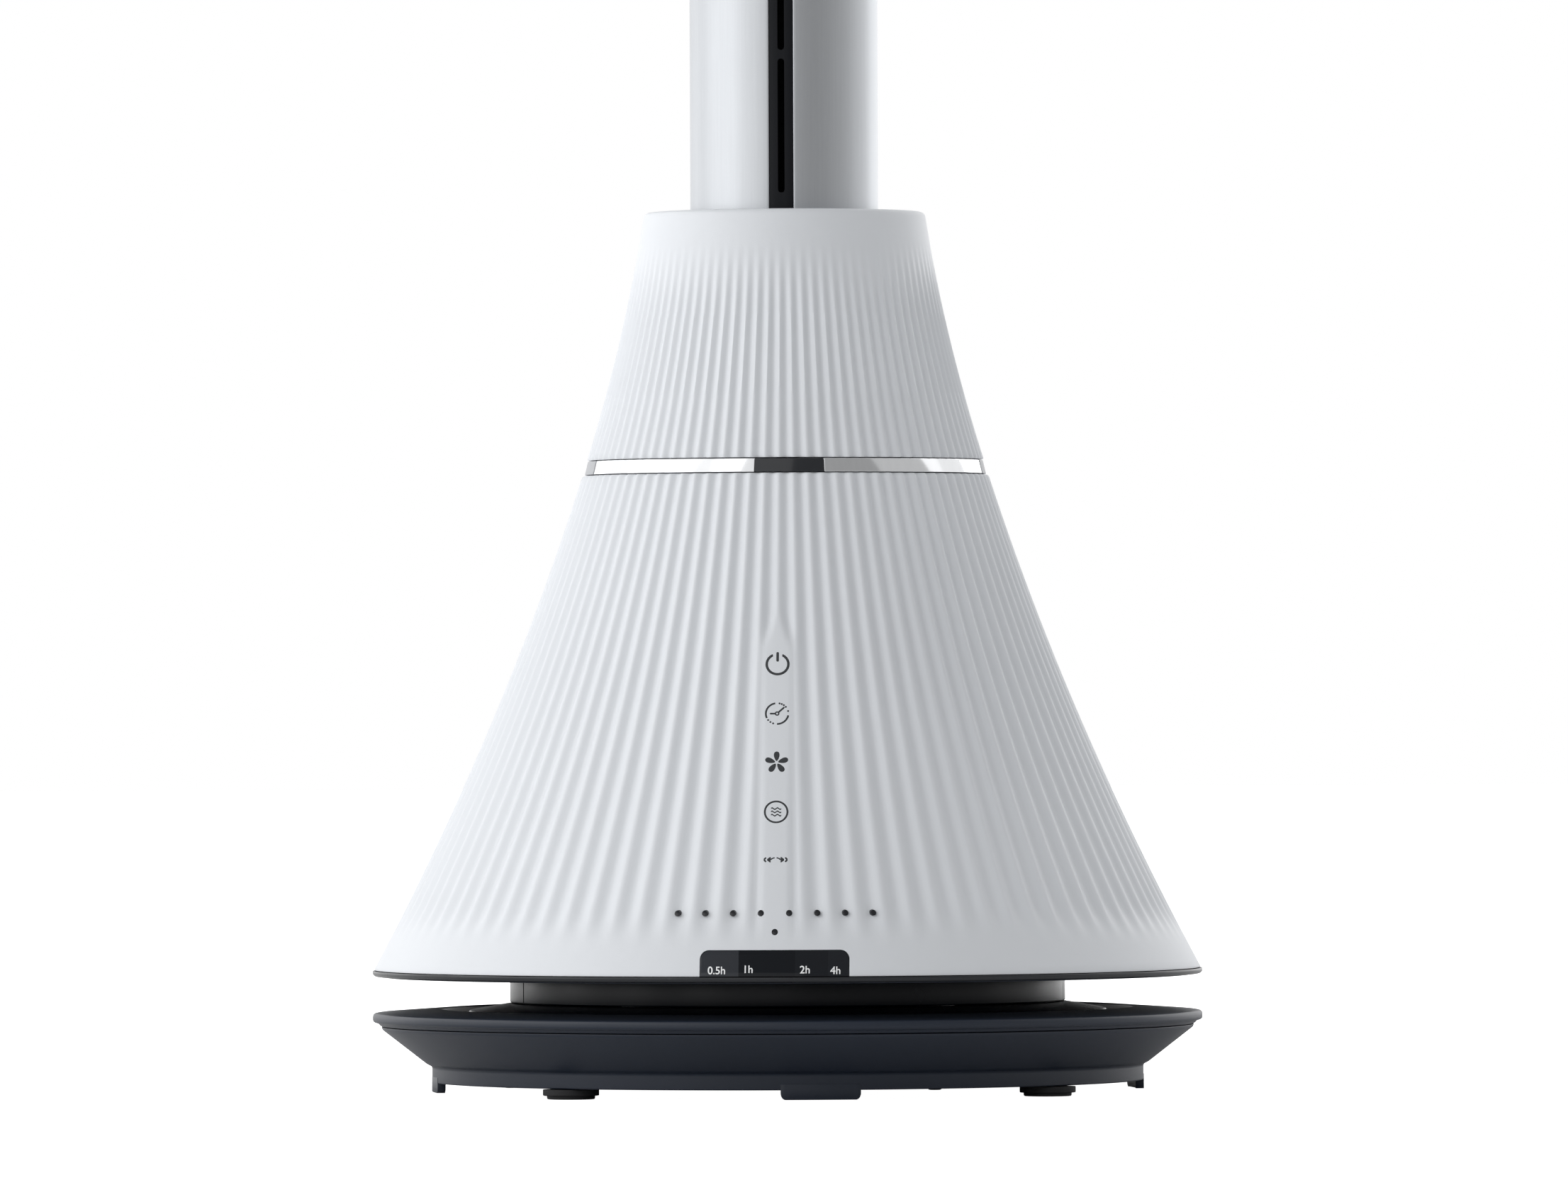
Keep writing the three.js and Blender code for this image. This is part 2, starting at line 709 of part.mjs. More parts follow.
place(base, "dc_inlet", dcInlet(), BLACK_GLOSS);

place(fanBody, "turntable", turntable(), BLACK);
place(fanBody, "neck_ring", tube(NECK.radius - WALL, NECK.radius, TURNTABLE.shoulder + GAP, NECK.top), BLACK);
place(fanBody, "intake_grille", intakeGrille(), BLACK);
place(fanBody, "trim_ring", tube(TRIM.inner, BASE.radius, TRIM.low, TRIM.high), BLACK_GLOSS);
place(fanBody, "intake_filter", tube(105, 129, GRILLE.high + GAP, 49, 24), FOAM);
place(fanBody, "swing_pinion", swingPinion(), NYLON, [-PINION_ORBIT, 0, 0]);
place(fanBody, "stepper_motor", stepperMotor(), STEEL, [-PINION_ORBIT, 0, 0]);

place(fanBody, "lower_cone", lowerCone(), WHITE);
place(fanBody, "display_window", displayWindow(), BLACK_GLOSS);
place(fanBody, "light_guide", lightGuide(), CLEAR);
place(fanBody, "status_light", statusLight(), CLEAR);
place(fanBody, "display_board", displayBoard(), BOARD);
place(fanBody, "touch_board", touchBoard(), BOARD);
place(fanBody, "control_board", block([-35, 85, 56], [35, 86.6, 104]), BOARD);
place(fanBody, "wiring_loom", wiringLoom(), RUBBER);

place(fanBody, "impeller_shroud", impellerShroud(), GREY);
place(fanBody, "impeller", impeller(), GREY);
place(fanBody, "impeller_nut", tube(SHAFT_RADIUS + 0.9, 6, 119.6, 123.6, 6), STEEL);
place(fanBody, "motor_shaft", rod(SHAFT_RADIUS, 118, 200), STEEL);
place(fanBody, "motor_rotor", motorRotor(), STEEL);
place(fanBody, "motor_stator", motorStator(), COPPER);
place(fanBody, "bearing_lower", bearing(177), STEEL);
place(fanBody, "bearing_upper", bearing(193), STEEL);
place(fanBody, "motor_bracket", motorBracket(), ALUMINIUM);
place(fanBody, "diffuser", diffuser(), GREY);
place(fanBody, "motor_damper", tube(60.5, 66, 214.7, 217.2, 24), RUBBER);
place(fanBody, "mounting_ring", mountingRing(), GREY);

place(band, "band_front", bandFront(), CHROME);
place(band, "band_rear", bandRear(), GREY);
place(band, "ir_window", irWindow(), BLACK_GLOSS);
place(band, "ir_receiver", block([-3, -68.4, 222.6], [3, -63.5, 227.4]), BLACK_GLOSS);

place(fanBody, "upper_cone", upperCone(), WHITE);
place(fanBody, "column_collar", columnCollar(), GREY);
place(fanBody, "column_seal", tube(COLUMN.radius + GAP, 35.3, 296, 300, 24), RUBBER);
place(fanBody, "column_tube", columnTube(), ALUMINIUM);
place(fanBody, "slot_strip", slotStrip(), BLACK_GLOSS);
place(fanBody, "top_cap", topCap(), WHITE);

export default towerFan;
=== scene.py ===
"""Looks of a bladeless tower fan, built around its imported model.

Sizes are in millimetres unless a name says otherwise, and are turned into metres where a mesh is made.
Pieces of the swinging body are made with their front towards -Y and then turned to their rest angle.
"""

import logging
import math
from contextlib import contextmanager
from dataclasses import dataclass
from enum import Enum
from typing import Callable, Iterator

import bpy
import numpy as np
from mathutils import Matrix, Vector


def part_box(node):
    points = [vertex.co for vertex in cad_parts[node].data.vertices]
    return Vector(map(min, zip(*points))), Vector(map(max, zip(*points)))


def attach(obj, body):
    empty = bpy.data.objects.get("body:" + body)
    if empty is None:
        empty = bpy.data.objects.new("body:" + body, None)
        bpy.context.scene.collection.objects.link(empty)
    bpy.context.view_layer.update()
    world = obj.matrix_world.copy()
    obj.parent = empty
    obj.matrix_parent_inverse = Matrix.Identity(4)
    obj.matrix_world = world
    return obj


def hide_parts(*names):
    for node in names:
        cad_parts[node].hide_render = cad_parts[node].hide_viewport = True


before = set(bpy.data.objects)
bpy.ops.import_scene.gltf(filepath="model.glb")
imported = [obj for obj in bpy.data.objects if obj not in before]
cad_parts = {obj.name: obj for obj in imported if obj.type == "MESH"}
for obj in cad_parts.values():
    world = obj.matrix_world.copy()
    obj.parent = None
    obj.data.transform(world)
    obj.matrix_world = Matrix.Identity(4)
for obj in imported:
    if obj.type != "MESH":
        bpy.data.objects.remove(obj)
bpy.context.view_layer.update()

LOG = logging.getLogger("tower_fan")
MM = 0.001
FULL_TURN = 2 * math.pi
REST_SWING = math.radians(-7)  # how far the swinging body stands off the base's front
BAND_TURN = math.radians(2.9)  # how far the bright band stands off the body's front
Point = tuple[float, float]
Paint = bpy.types.NodeSocket | tuple[float, float, float]


class Body(Enum):
    """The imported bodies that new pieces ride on."""

    BASE = "base"
    FAN = "fan_body"


class Cut(Enum):
    """Ways in which one solid changes another."""

    REMOVE = "DIFFERENCE"
    JOIN = "UNION"
    KEEP_COMMON = "INTERSECT"


# ------------------------------------------------------------------------------ bench work
def clear_selection() -> None:
    """Leaves object mode with nothing selected."""
    if bpy.context.object and bpy.context.object.mode != "OBJECT":
        bpy.ops.object.mode_set(mode="OBJECT")
    bpy.ops.object.select_all(action="DESELECT")


def pick(*objects: bpy.types.Object) -> None:
    """Selects these objects only, the first one active.

    Args:
        objects: What to select.
    """
    clear_selection()
    for obj in objects:
        obj.select_set(True)
    bpy.context.view_layer.objects.active = objects[0]


@contextmanager
def editing(obj: bpy.types.Object, everything: bool = True) -> Iterator[None]:
    """Edit mode on one object, left again at the end.

    Args:
        obj: The mesh object to edit.
        everything: Whether all of it starts selected.
    """
    pick(obj)
    bpy.ops.object.mode_set(mode="EDIT")
    bpy.ops.mesh.select_all(action="SELECT" if everything else "DESELECT")
    yield
    bpy.ops.object.mode_set(mode="OBJECT")


def choose(obj: bpy.types.Object, kind: str, test: Callable) -> int:
    """Selects the vertices, edges or faces of a mesh that pass a test, in object mode.

    Args:
        obj: The mesh object.
        kind: "vertices", "edges" or "polygons".
        test: Takes one element and says whether it is wanted.

    Returns:
        How many were selected.
    """
    mesh = obj.data
    for group in (mesh.vertices, mesh.edges, mesh.polygons):
        group.foreach_set("select", [False] * len(group))
    modes = {"vertices": (True, False, False), "edges": (False, True, False), "polygons": (False, False, True)}
    bpy.context.tool_settings.mesh_select_mode = modes[kind]
    wanted = [item for item in getattr(mesh, kind) if test(item)]
    for item in wanted:
        item.select = True
    return len(wanted)


def edge_middle(obj: bpy.types.Object, edge: bpy.types.MeshEdge) -> Vector:
    """The middle of an edge, in millimetres."""
    first, second = (obj.data.vertices[i].co for i in edge.vertices)
    return (first + second) / 2 / MM


def settle(obj: bpy.types.Object, turn: float = 0.0) -> bpy.types.Object:
    """Turns a piece about Z and puts its place into its mesh.

    Args:
        obj: The piece.
        turn: Angle in radians.

    Returns:
        The same piece.
    """
    pick(obj)
    obj.rotation_euler.z += turn
    bpy.ops.object.transform_apply(location=True, rotation=True, scale=True)
    return obj


def tidy(obj: bpy.types.Object, distance: float = 0.002) -> None:
    """Merges doubled vertices and turns all faces outwards.

    Args:
        obj: The mesh object.
        distance: Vertices closer than this, in millimetres, become one.
    """
    with editing(obj):
        bpy.ops.mesh.remove_doubles(threshold=distance * MM)
        bpy.ops.mesh.normals_make_consistent(inside=False)


def smooth(obj: bpy.types.Object, angle: float = 32.0) -> None:
    """Shades a piece smoothly, except across edges sharper than an angle in degrees."""
    pick(obj)
    bpy.ops.object.shade_smooth_by_angle(angle=math.radians(angle))


def finish_modifier(obj: bpy.types.Object, kind: str, **settings) -> None:
    """Adds a modifier with its settings and applies it.

    Args:
        obj: The mesh object.
        kind: Blender's name of the modifier's type.
        settings: Values for the modifier's properties.
    """
    modifier = obj.modifiers.new(kind.title(), kind)
    for name, value in settings.items():
        setattr(modifier, name, value)
    pick(obj)
    bpy.ops.object.modifier_apply(modifier=modifier.name)


def soften(obj: bpy.types.Object, width: float, segments: int = 2, angle: float = 40.0) -> None:
    """Rounds every edge that is sharper than an angle.

    Args:
        obj: The mesh object.
        width: Width of the rounding in millimetres.
        segments: Steps across the rounding.
        angle: Smallest angle, in degrees, that is rounded.
    """
    finish_modifier(
        obj, "BEVEL", width=width * MM, segments=segments, limit_method="ANGLE",
        angle_limit=math.radians(angle), use_clamp_overlap=True,
    )


def combine(obj: bpy.types.Object, tool: bpy.types.Object, cut: Cut) -> None:
    """Joins or cuts a piece with a tool solid, which is used up.

    Args:
        obj: The piece.
        tool: The other solid.
        cut: What to do with it.
    """
    finish_modifier(obj, "BOOLEAN", object=tool, operation=cut.value, solver="EXACT")
    bpy.data.objects.remove(tool)
    tidy(obj, 0.005)


def gather(name: str, parts: list[bpy.types.Object]) -> bpy.types.Object:
    """Makes several meshes one object.

    Args:
        name: Name of the result.
        parts: The meshes, which are used up.

    Returns:
        The joined object.
    """
    pick(*parts)
    if len(parts) > 1:
        bpy.ops.object.join()
    result = bpy.context.object
    result.name = name
    return result


def copied(obj: bpy.types.Object, name: str, turn: float) -> bpy.types.Object:
    """A copy with its own mesh, turned about Z by an angle in radians."""
    twin = obj.copy()
    twin.data = obj.data.copy()
    twin.name = name
    bpy.context.collection.objects.link(twin)
    return settle(twin, turn)


def around(obj: bpy.types.Object, angles: list[float]) -> list[bpy.types.Object]:
    """Copies of a mesh at several angles about Z, in radians; the first mesh is used up."""
    copies = [copied(obj, f"{obj.name}_{i + 1}", angle) for i, angle in enumerate(angles)]
    bpy.data.objects.remove(obj)
    return copies


def reshape(obj: bpy.types.Object, rule: Callable[[np.ndarray], np.ndarray]) -> None:
    """Moves all vertices by a rule that takes and returns an array of points in millimetres."""
    flat = np.empty(len(obj.data.vertices) * 3)
    obj.data.vertices.foreach_get("co", flat)
    moved = rule(flat.reshape(-1, 3) / MM) * MM
    obj.data.vertices.foreach_set("co", moved.ravel())
    obj.data.update()


# ------------------------------------------------------------------------------ turned work
@dataclass(frozen=True)
class Corner:
    """One corner of a turned outline, rounded by a fillet."""

    radius: float
    height: float
    fillet: float = 0.0


def rounded(corners: list[Corner], steps: int = 4) -> list[Point]:
    """The closed outline through some corners, with an arc in place of each filleted one.

    Args:
        corners: The corners in order.
        steps: Segments of each arc.

    Returns:
        (radius, height) points.
    """
    points: list[Point] = []
    for i, corner in enumerate(corners):
        here = Vector((corner.radius, corner.height))
        if not corner.fillet:
            points.append(tuple(here))
            continue
        before, after = corners[i - 1], corners[(i + 1) % len(corners)]
        towards = Vector((before.radius, before.height)) - here
        away = Vector((after.radius, after.height)) - here
        reach = min(corner.fillet, towards.length * 0.48, away.length * 0.48)
        start, end = here + towards.normalized() * reach, here + away.normalized() * reach
        for step in range(steps + 1):
            t = step / steps
            points.append(tuple(start * (1 - t) ** 2 + here * (2 * t * (1 - t)) + end * t**2))
    return points


def turned(
    name: str, points: list[Point], steps: int = 128, first: float = 0.0, sweep: float = 360.0,
) -> bpy.types.Object:
    """A solid made by spinning an outline about the Z axis.

    Args:
        name: Name of the piece.
        points: Closed outline as (radius, height) points. Ends on the axis leave it open there.
        steps: Segments round the sweep.
        first: Angle of the first outline in degrees, from the front towards +X.
        sweep: How far it is spun, in degrees.

    Returns:
        The new object.
    """
    clear_selection()
    bpy.ops.mesh.primitive_circle_add(vertices=len(points), radius=1.0, fill_type="NOTHING")
    obj = bpy.context.object
    obj.name = name
    start = math.radians(first)
    places = [(r * math.sin(start), -r * math.cos(start), z) for r, z in points]
    reshape(obj, lambda _: np.array(places))
    on_axis = {i for i, (r, _) in enumerate(points) if r == 0}
    if on_axis:
        choose(obj, "edges", lambda edge: set(edge.vertices) <= on_axis)
        with kept_selection(obj):
            bpy.ops.mesh.delete(type="EDGE")
    whole = abs(sweep - 360.0) < 1e-6
    with editing(obj):
        if not whole:
            bpy.ops.mesh.edge_face_add()
        bpy.ops.mesh.spin(
            steps=steps, angle=math.radians(-sweep), center=(0, 0, 0), axis=(0, 0, 1), use_auto_merge=whole,
        )
    tidy(obj)
    return obj


@contextmanager
def kept_selection(obj: bpy.types.Object) -> Iterator[None]:
    """Edit mode with what was chosen in object mode still selected."""
    pick(obj)
    bpy.ops.object.mode_set(mode="EDIT")
    yield
    bpy.ops.object.mode_set(mode="OBJECT")


def block(name: str, low: tuple, high: tuple) -> bpy.types.Object:
    """A box between two corners in millimetres, as a start for a piece or as a cutting tool."""
    clear_selection()
    middle = (Vector(low) + Vector(high)) / 2 * MM
    size = (Vector(high) - Vector(low)) * MM
    bpy.ops.mesh.primitive_cube_add(size=1.0, location=middle)
    obj = bpy.context.object
    obj.name = name
    obj.scale = size
    return settle(obj)


def drum(
    name: str, radius: float, depth: float, place: tuple, along: str = "Z", sides: int = 32,
) -> bpy.types.Object:
    """A cylinder in millimetres, centred on a place, with its axis along X, Y or Z."""
    clear_selection()
    turn = {"X": (0, math.pi / 2, 0), "Y": (math.pi / 2, 0, 0), "Z": (0, 0, 0)}[along]
    bpy.ops.mesh.primitive_cylinder_add(
        vertices=sides, radius=radius * MM, depth=depth * MM, location=Vector(place) * MM, rotation=turn,
    )
    obj = bpy.context.object
    obj.name = name
    return settle(obj)


def blend_step(value: np.ndarray) -> np.ndarray:
    """A smooth rise from 0 to 1 as the value goes from 0 to 1."""
    held = np.clip(value, 0.0, 1.0)
    return held * held * (3 - 2 * held)


# ------------------------------------------------------------------------------ shader groups
def new_group(
    name: str, inputs: list[tuple[str, str, float]], outputs: list[tuple[str, str]],
) -> tuple[bpy.types.NodeTree, bpy.types.Node, bpy.types.Node]:
    """A shader node group with named sockets.

    Args:
        name: The group's name.
        inputs: (name, socket type, default) of each input.
        outputs: (name, socket type) of each output.

    Returns:
        The group, its input node and its output node.
    """
    group = bpy.data.node_groups.new(name, "ShaderNodeTree")
    for label, kind, default in inputs:
        socket = group.interface.new_socket(name=label, in_out="INPUT", socket_type=kind)
        if kind == "NodeSocketFloat":
            socket.default_value = default
    for label, kind in outputs:
        group.interface.new_socket(name=label, in_out="OUTPUT", socket_type=kind)
    return group, group.nodes.new("NodeGroupInput"), group.nodes.new("NodeGroupOutput")


def grain_group() -> bpy.types.NodeTree:
    """Fine mould texture: a height and a broad, slow variation."""
    group, start, end = new_group(
        "mould_grain",
        [
            ("Vector", "NodeSocketVector", 0),
            ("Fine Scale", "NodeSocketFloat", 1500),
            ("Broad Scale", "NodeSocketFloat", 14),
        ],
        [("Height", "NodeSocketFloat"), ("Broad", "NodeSocketFloat")],
    )
    fine = group.nodes.new("ShaderNodeTexNoise")
    fine.inputs["Detail"].default_value = 2.0
    fine.inputs["Roughness"].default_value = 0.6
    broad = group.nodes.new("ShaderNodeTexNoise")
    broad.inputs["Detail"].default_value = 4.0
    link = group.links.new
    link(start.outputs["Vector"], fine.inputs["Vector"])
    link(start.outputs["Fine Scale"], fine.inputs["Scale"])
    link(start.outputs["Vector"], broad.inputs["Vector"])
    link(start.outputs["Broad Scale"], broad.inputs["Scale"])
    link(fine.outputs["Fac"], end.inputs["Height"])
    link(broad.outputs["Fac"], end.inputs["Broad"])
    return group


def dust_group() -> bpy.types.NodeTree:
    """Settled dust: a patchy mask on surfaces that face up."""
    group, start, end = new_group(
        "settled_dust",
        [("Vector", "NodeSocketVector", 0), ("Amount", "NodeSocketFloat", 0.1)],
        [("Mask", "NodeSocketFloat")],
    )
    nodes, link = group.nodes, group.links.new
    normal = nodes.new("ShaderNodeNewGeometry")
    split = nodes.new("ShaderNodeSeparateXYZ")
    patch = nodes.new("ShaderNodeTexNoise")
    patch.inputs["Scale"].default_value = 60.0
    patch.inputs["Detail"].default_value = 5.0
    facing = nodes.new("ShaderNodeMapRange")
    facing.inputs["From Min"].default_value = 0.55
    times = nodes.new("ShaderNodeMath")
    times.operation = "MULTIPLY"
    amount = nodes.new("ShaderNodeMath")
    amount.operation = "MULTIPLY"
    amount.use_clamp = True
    link(normal.outputs["Normal"], split.inputs["Vector"])
    link(split.outputs["Z"], facing.inputs["Value"])
    link(start.outputs["Vector"], patch.inputs["Vector"])
    link(facing.outputs["Result"], times.inputs[0])
    link(patch.outputs["Fac"], times.inputs[1])
    link(times.outputs["Value"], amount.inputs[0])
    link(start.outputs["Amount"], amount.inputs[1])
    link(amount.outputs["Value"], end.inputs["Mask"])
    return group


def brushed_group() -> bpy.types.NodeTree:
    """Drawn metal: long fine lines along one axis, set by the scales across and along."""
    group, start, end = new_group(
        "drawn_lines",
        [("Vector", "NodeSocketVector", 0), ("Scale", "NodeSocketFloat", 900)],
        [("Height", "NodeSocketFloat")],
    )
    nodes, link = group.nodes, group.links.new
    stretch = nodes.new("ShaderNodeVectorMath")
    stretch.operation = "MULTIPLY"
    stretch.inputs[1].default_value = (1.0, 1.0, 0.02)
    lines = nodes.new("ShaderNodeTexNoise")
    lines.inputs["Detail"].default_value = 3.0
    link(start.outputs["Vector"], stretch.inputs[0])
    link(stretch.outputs["Vector"], lines.inputs["Vector"])
    link(start.outputs["Scale"], lines.inputs["Scale"])
    link(lines.outputs["Fac"], end.inputs["Height"])
    return group


def wear_group() -> bpy.types.NodeTree:
    """Handling wear: a broken mask along sharp outer edges."""
    group, start, end = new_group(
        "edge_wear",
        [("Vector", "NodeSocketVector", 0), ("Amount", "NodeSocketFloat", 0.3)],
        [("Mask", "NodeSocketFloat")],
    )
    nodes, link = group.nodes, group.links.new
    shape = nodes.new("ShaderNodeNewGeometry")
    edges = nodes.new("ShaderNodeMapRange")
    edges.inputs["From Min"].default_value = 0.54
    edges.inputs["From Max"].default_value = 0.68
    broken = nodes.new("ShaderNodeTexNoise")
    broken.inputs["Scale"].default_value = 180.0
    times = nodes.new("ShaderNodeMath")
    times.operation = "MULTIPLY"
    amount = nodes.new("ShaderNodeMath")
    amount.operation = "MULTIPLY"
    amount.use_clamp = True
    link(shape.outputs["Pointiness"], edges.inputs["Value"])
    link(start.outputs["Vector"], broken.inputs["Vector"])
    link(edges.outputs["Result"], times.inputs[0])
    link(broken.outputs["Fac"], times.inputs[1])
    link(times.outputs["Value"], amount.inputs[0])
    link(start.outputs["Amount"], amount.inputs[1])
    link(amount.outputs["Value"], end.inputs["Mask"])
    return group


class Effects:
    """The shared effects, each built once."""

    def __init__(self) -> None:
        """Builds the node groups."""
        self.grain = grain_group()
        self.dust = dust_group()
        self.brushed = brushed_group()
        self.wear = wear_group()


EFFECTS = Effects()


# ------------------------------------------------------------------------------ finishes
class Surface:
    """One material's node tree while it is being built."""

    def __init__(self, name: str) -> None:
        """Starts a material with a Principled shader and Object coordinates."""
        self.material = bpy.data.materials.new(name)
        self.material.use_nodes = True
        self.nodes = self.material.node_tree.nodes
        self.link = self.material.node_tree.links.new
        self.shader = self.nodes["Principled BSDF"]
        self.place = self.nodes.new("ShaderNodeTexCoord").outputs["Object"]

    def group(self, tree: bpy.types.NodeTree, **values: float) -> bpy.types.Node:
        """Places a shared effect on Object coordinates with its own values."""
        node = self.nodes.new("ShaderNodeGroup")
        node.node_tree = tree
        self.link(self.place, node.inputs["Vector"])
        for name, value in values.items():
            node.inputs[name.replace("_", " ")].default_value = value
        return node

    def mix(self, factor: bpy.types.NodeSocket, first: Paint, second: Paint) -> bpy.types.NodeSocket:
        """Mixes two colours, each a socket or a plain value, by a factor."""
        node = self.nodes.new("ShaderNodeMix")
        node.data_type = "RGBA"
        self.link(factor, node.inputs["Factor"])
        for socket, colour in ((node.inputs[6], first), (node.inputs[7], second)):
            if isinstance(colour, bpy.types.NodeSocket):
                self.link(colour, socket)
            else:
                socket.default_value = (*colour, 1.0)
        return node.outputs[2]

    def spread(self, value: bpy.types.NodeSocket, low: float, high: float) -> bpy.types.NodeSocket:
        """Maps a texture's middle range to a range of values."""
        node = self.nodes.new("ShaderNodeMapRange")
        node.inputs["From Min"].default_value = 0.3
        node.inputs["From Max"].default_value = 0.7
        node.inputs["To Min"].default_value = low
        node.inputs["To Max"].default_value = high
        self.link(value, node.inputs["Value"])
        return node.outputs["Result"]

    def bump(self, height: bpy.types.NodeSocket, depth: float, strength: float = 1.0) -> None:
        """Gives the shader a bump of a depth in millimetres."""
        node = self.nodes.new("ShaderNodeBump")
        node.inputs["Distance"].default_value = depth * MM
        node.inputs["Strength"].default_value = strength
        self.link(height, node.inputs["Height"])
        self.link(node.outputs["Normal"], self.shader.inputs["Normal"])

    def constants(self, **values: float) -> None:
        """Sets plain values on the shader's own sockets."""
        for name, value in values.items():
            self.shader.inputs[name.replace("_", " ")].default_value = value


@dataclass(frozen=True)
class Moulded:
    """A moulded plastic or rubber with a fine mould texture, dust and a little edge wear."""

    name: str
    slot: str
    colour: tuple[float, float, float]
    roughness: float
    grain_depth: float = 0.02
    grain_scale: float = 1500.0
    variation: float = 0.03
    dust: float = 0.06
    wear: float = 0.05
    coat: float = 0.0
    ior: float = 1.46

    def build(self) -> bpy.types.Material:
        """Returns the material."""
        surface = Surface(self.name)
        grain = surface.group(EFFECTS.grain, Fine_Scale=self.grain_scale, Broad_Scale=11.0)
        dust = surface.group(EFFECTS.dust, Amount=self.dust)
        wear = surface.group(EFFECTS.wear, Amount=self.wear)
        darker = tuple(c * (1 - self.variation) for c in self.colour)
        lighter = tuple(min(1.0, c * (1 + self.variation)) for c in self.colour)
        rubbed = tuple(min(1.0, c + (0.86 - c) * 0.3) for c in self.colour)
        tone = surface.mix(surface.spread(grain.outputs["Broad"], 0, 1), darker, lighter)
        tone = surface.mix(wear.outputs["Mask"], tone, rubbed)
        tone = surface.mix(dust.outputs["Mask"], tone, (0.55, 0.54, 0.52))
        surface.link(tone, surface.shader.inputs["Base Color"])
        rough = surface.spread(grain.outputs["Broad"], self.roughness * 0.93, self.roughness * 1.07)
        surface.link(rough, surface.shader.inputs["Roughness"])
        surface.bump(grain.outputs["Height"], self.grain_depth)
        surface.constants(IOR=self.ior, Coat_Weight=self.coat, Coat_Roughness=0.06)
        return surface.material


@dataclass(frozen=True)
class Metal:
    """A bare, anodised or plated metal with drawn lines and a fine sparkle."""

    name: str
    slot: str
    colour: tuple[float, float, float]
    roughness: float
    line_depth: float = 0.004
    line_scale: float = 900.0
    sparkle: float = 0.0
    metallic: float = 1.0

    def build(self) -> bpy.types.Material:
        """Returns the material."""
        surface = Surface(self.name)
        lines = surface.group(EFFECTS.brushed, Scale=self.line_scale)
        grain = surface.group(EFFECTS.grain, Fine_Scale=2200.0, Broad_Scale=6.0)
        darker = tuple(c * 0.955 for c in self.colour)
        tone = surface.mix(surface.spread(lines.outputs["Height"], 0, 1), darker, self.colour)
        speck = tuple(c * (1 - self.sparkle) for c in self.colour)
        tone = surface.mix(surface.spread(grain.outputs["Height"], 0, 0.6), tone, speck)
        surface.link(tone, surface.shader.inputs["Base Color"])
        rough = surface.spread(grain.outputs["Broad"], self.roughness * 0.92, self.roughness * 1.08)
        surface.link(rough, surface.shader.inputs["Roughness"])
        surface.bump(lines.outputs["Height"], self.line_depth)
        surface.constants(Metallic=self.metallic)
        return surface.material


@dataclass(frozen=True)
class Foam:
    """Open-cell filter foam, with painted shade in its pores."""

    name: str
    slot: str
    colour: tuple[float, float, float]
    cells: float = 700.0

    def build(self) -> bpy.types.Material:
        """Returns the material."""
        surface = Surface(self.name)
        pores = surface.nodes.new("ShaderNodeTexVoronoi")
        pores.inputs["Scale"].default_value = self.cells
        surface.link(surface.place, pores.inputs["Vector"])
        # Painted shade: the pores are darker than the foam's struts.
        painted_recess_shade = tuple(c * 0.25 for c in self.colour)
        tone = surface.mix(surface.spread(pores.outputs["Distance"], 1, 0), self.colour, painted_recess_shade)
        surface.link(tone, surface.shader.inputs["Base Color"])
        surface.constants(Roughness=0.95)
        surface.bump(pores.outputs["Distance"], 0.6)
        return surface.material


@dataclass(frozen=True)
class CircuitBoard:
    """A coated circuit board with copper runs under the coating."""

    name: str
    slot: str
    colour: tuple[float, float, float]

    def build(self) -> bpy.types.Material:
        """Returns the material."""
        surface = Surface(self.name)
        runs = surface.nodes.new("ShaderNodeTexBrick")
        runs.inputs["Scale"].default_value = 220.0
        runs.inputs["Mortar Size"].default_value = 0.03
        runs.inputs["Color1"].default_value = (*self.colour, 1)
        runs.inputs["Color2"].default_value = (*(c * 0.8 for c in self.colour), 1)
        runs.inputs["Mortar"].default_value = (*(c * 1.7 for c in self.colour), 1)
        surface.link(surface.place, runs.inputs["Vector"])
        surface.link(runs.outputs["Color"], surface.shader.inputs["Base Color"])
        surface.bump(runs.outputs["Fac"], 0.03)
        surface.constants(Roughness=0.35)
        return surface.material


@dataclass(frozen=True)
class Winding:
    """Lacquered copper wire wound in even turns, with painted shade in the grooves between turns."""

    name: str
    slot: str
    colour: tuple[float, float, float]

    def build(self) -> bpy.types.Material:
        """Returns the material."""
        surface = Surface(self.name)
        turns = surface.nodes.new("ShaderNodeTexWave")
        turns.bands_direction = "Z"
        turns.inputs["Scale"].default_value = 500.0
        surface.link(surface.place, turns.inputs["Vector"])
        # Painted shade: the grooves between turns are darker than the wire.
        painted_recess_shade = tuple(c * 0.45 for c in self.colour)
        surface.link(surface.mix(turns.outputs["Fac"], painted_recess_shade, self.colour), surface.shader.inputs["Base Color"])
        surface.bump(turns.outputs["Fac"], 0.2)
        surface.constants(Roughness=0.3, Metallic=0.9)
        return surface.material


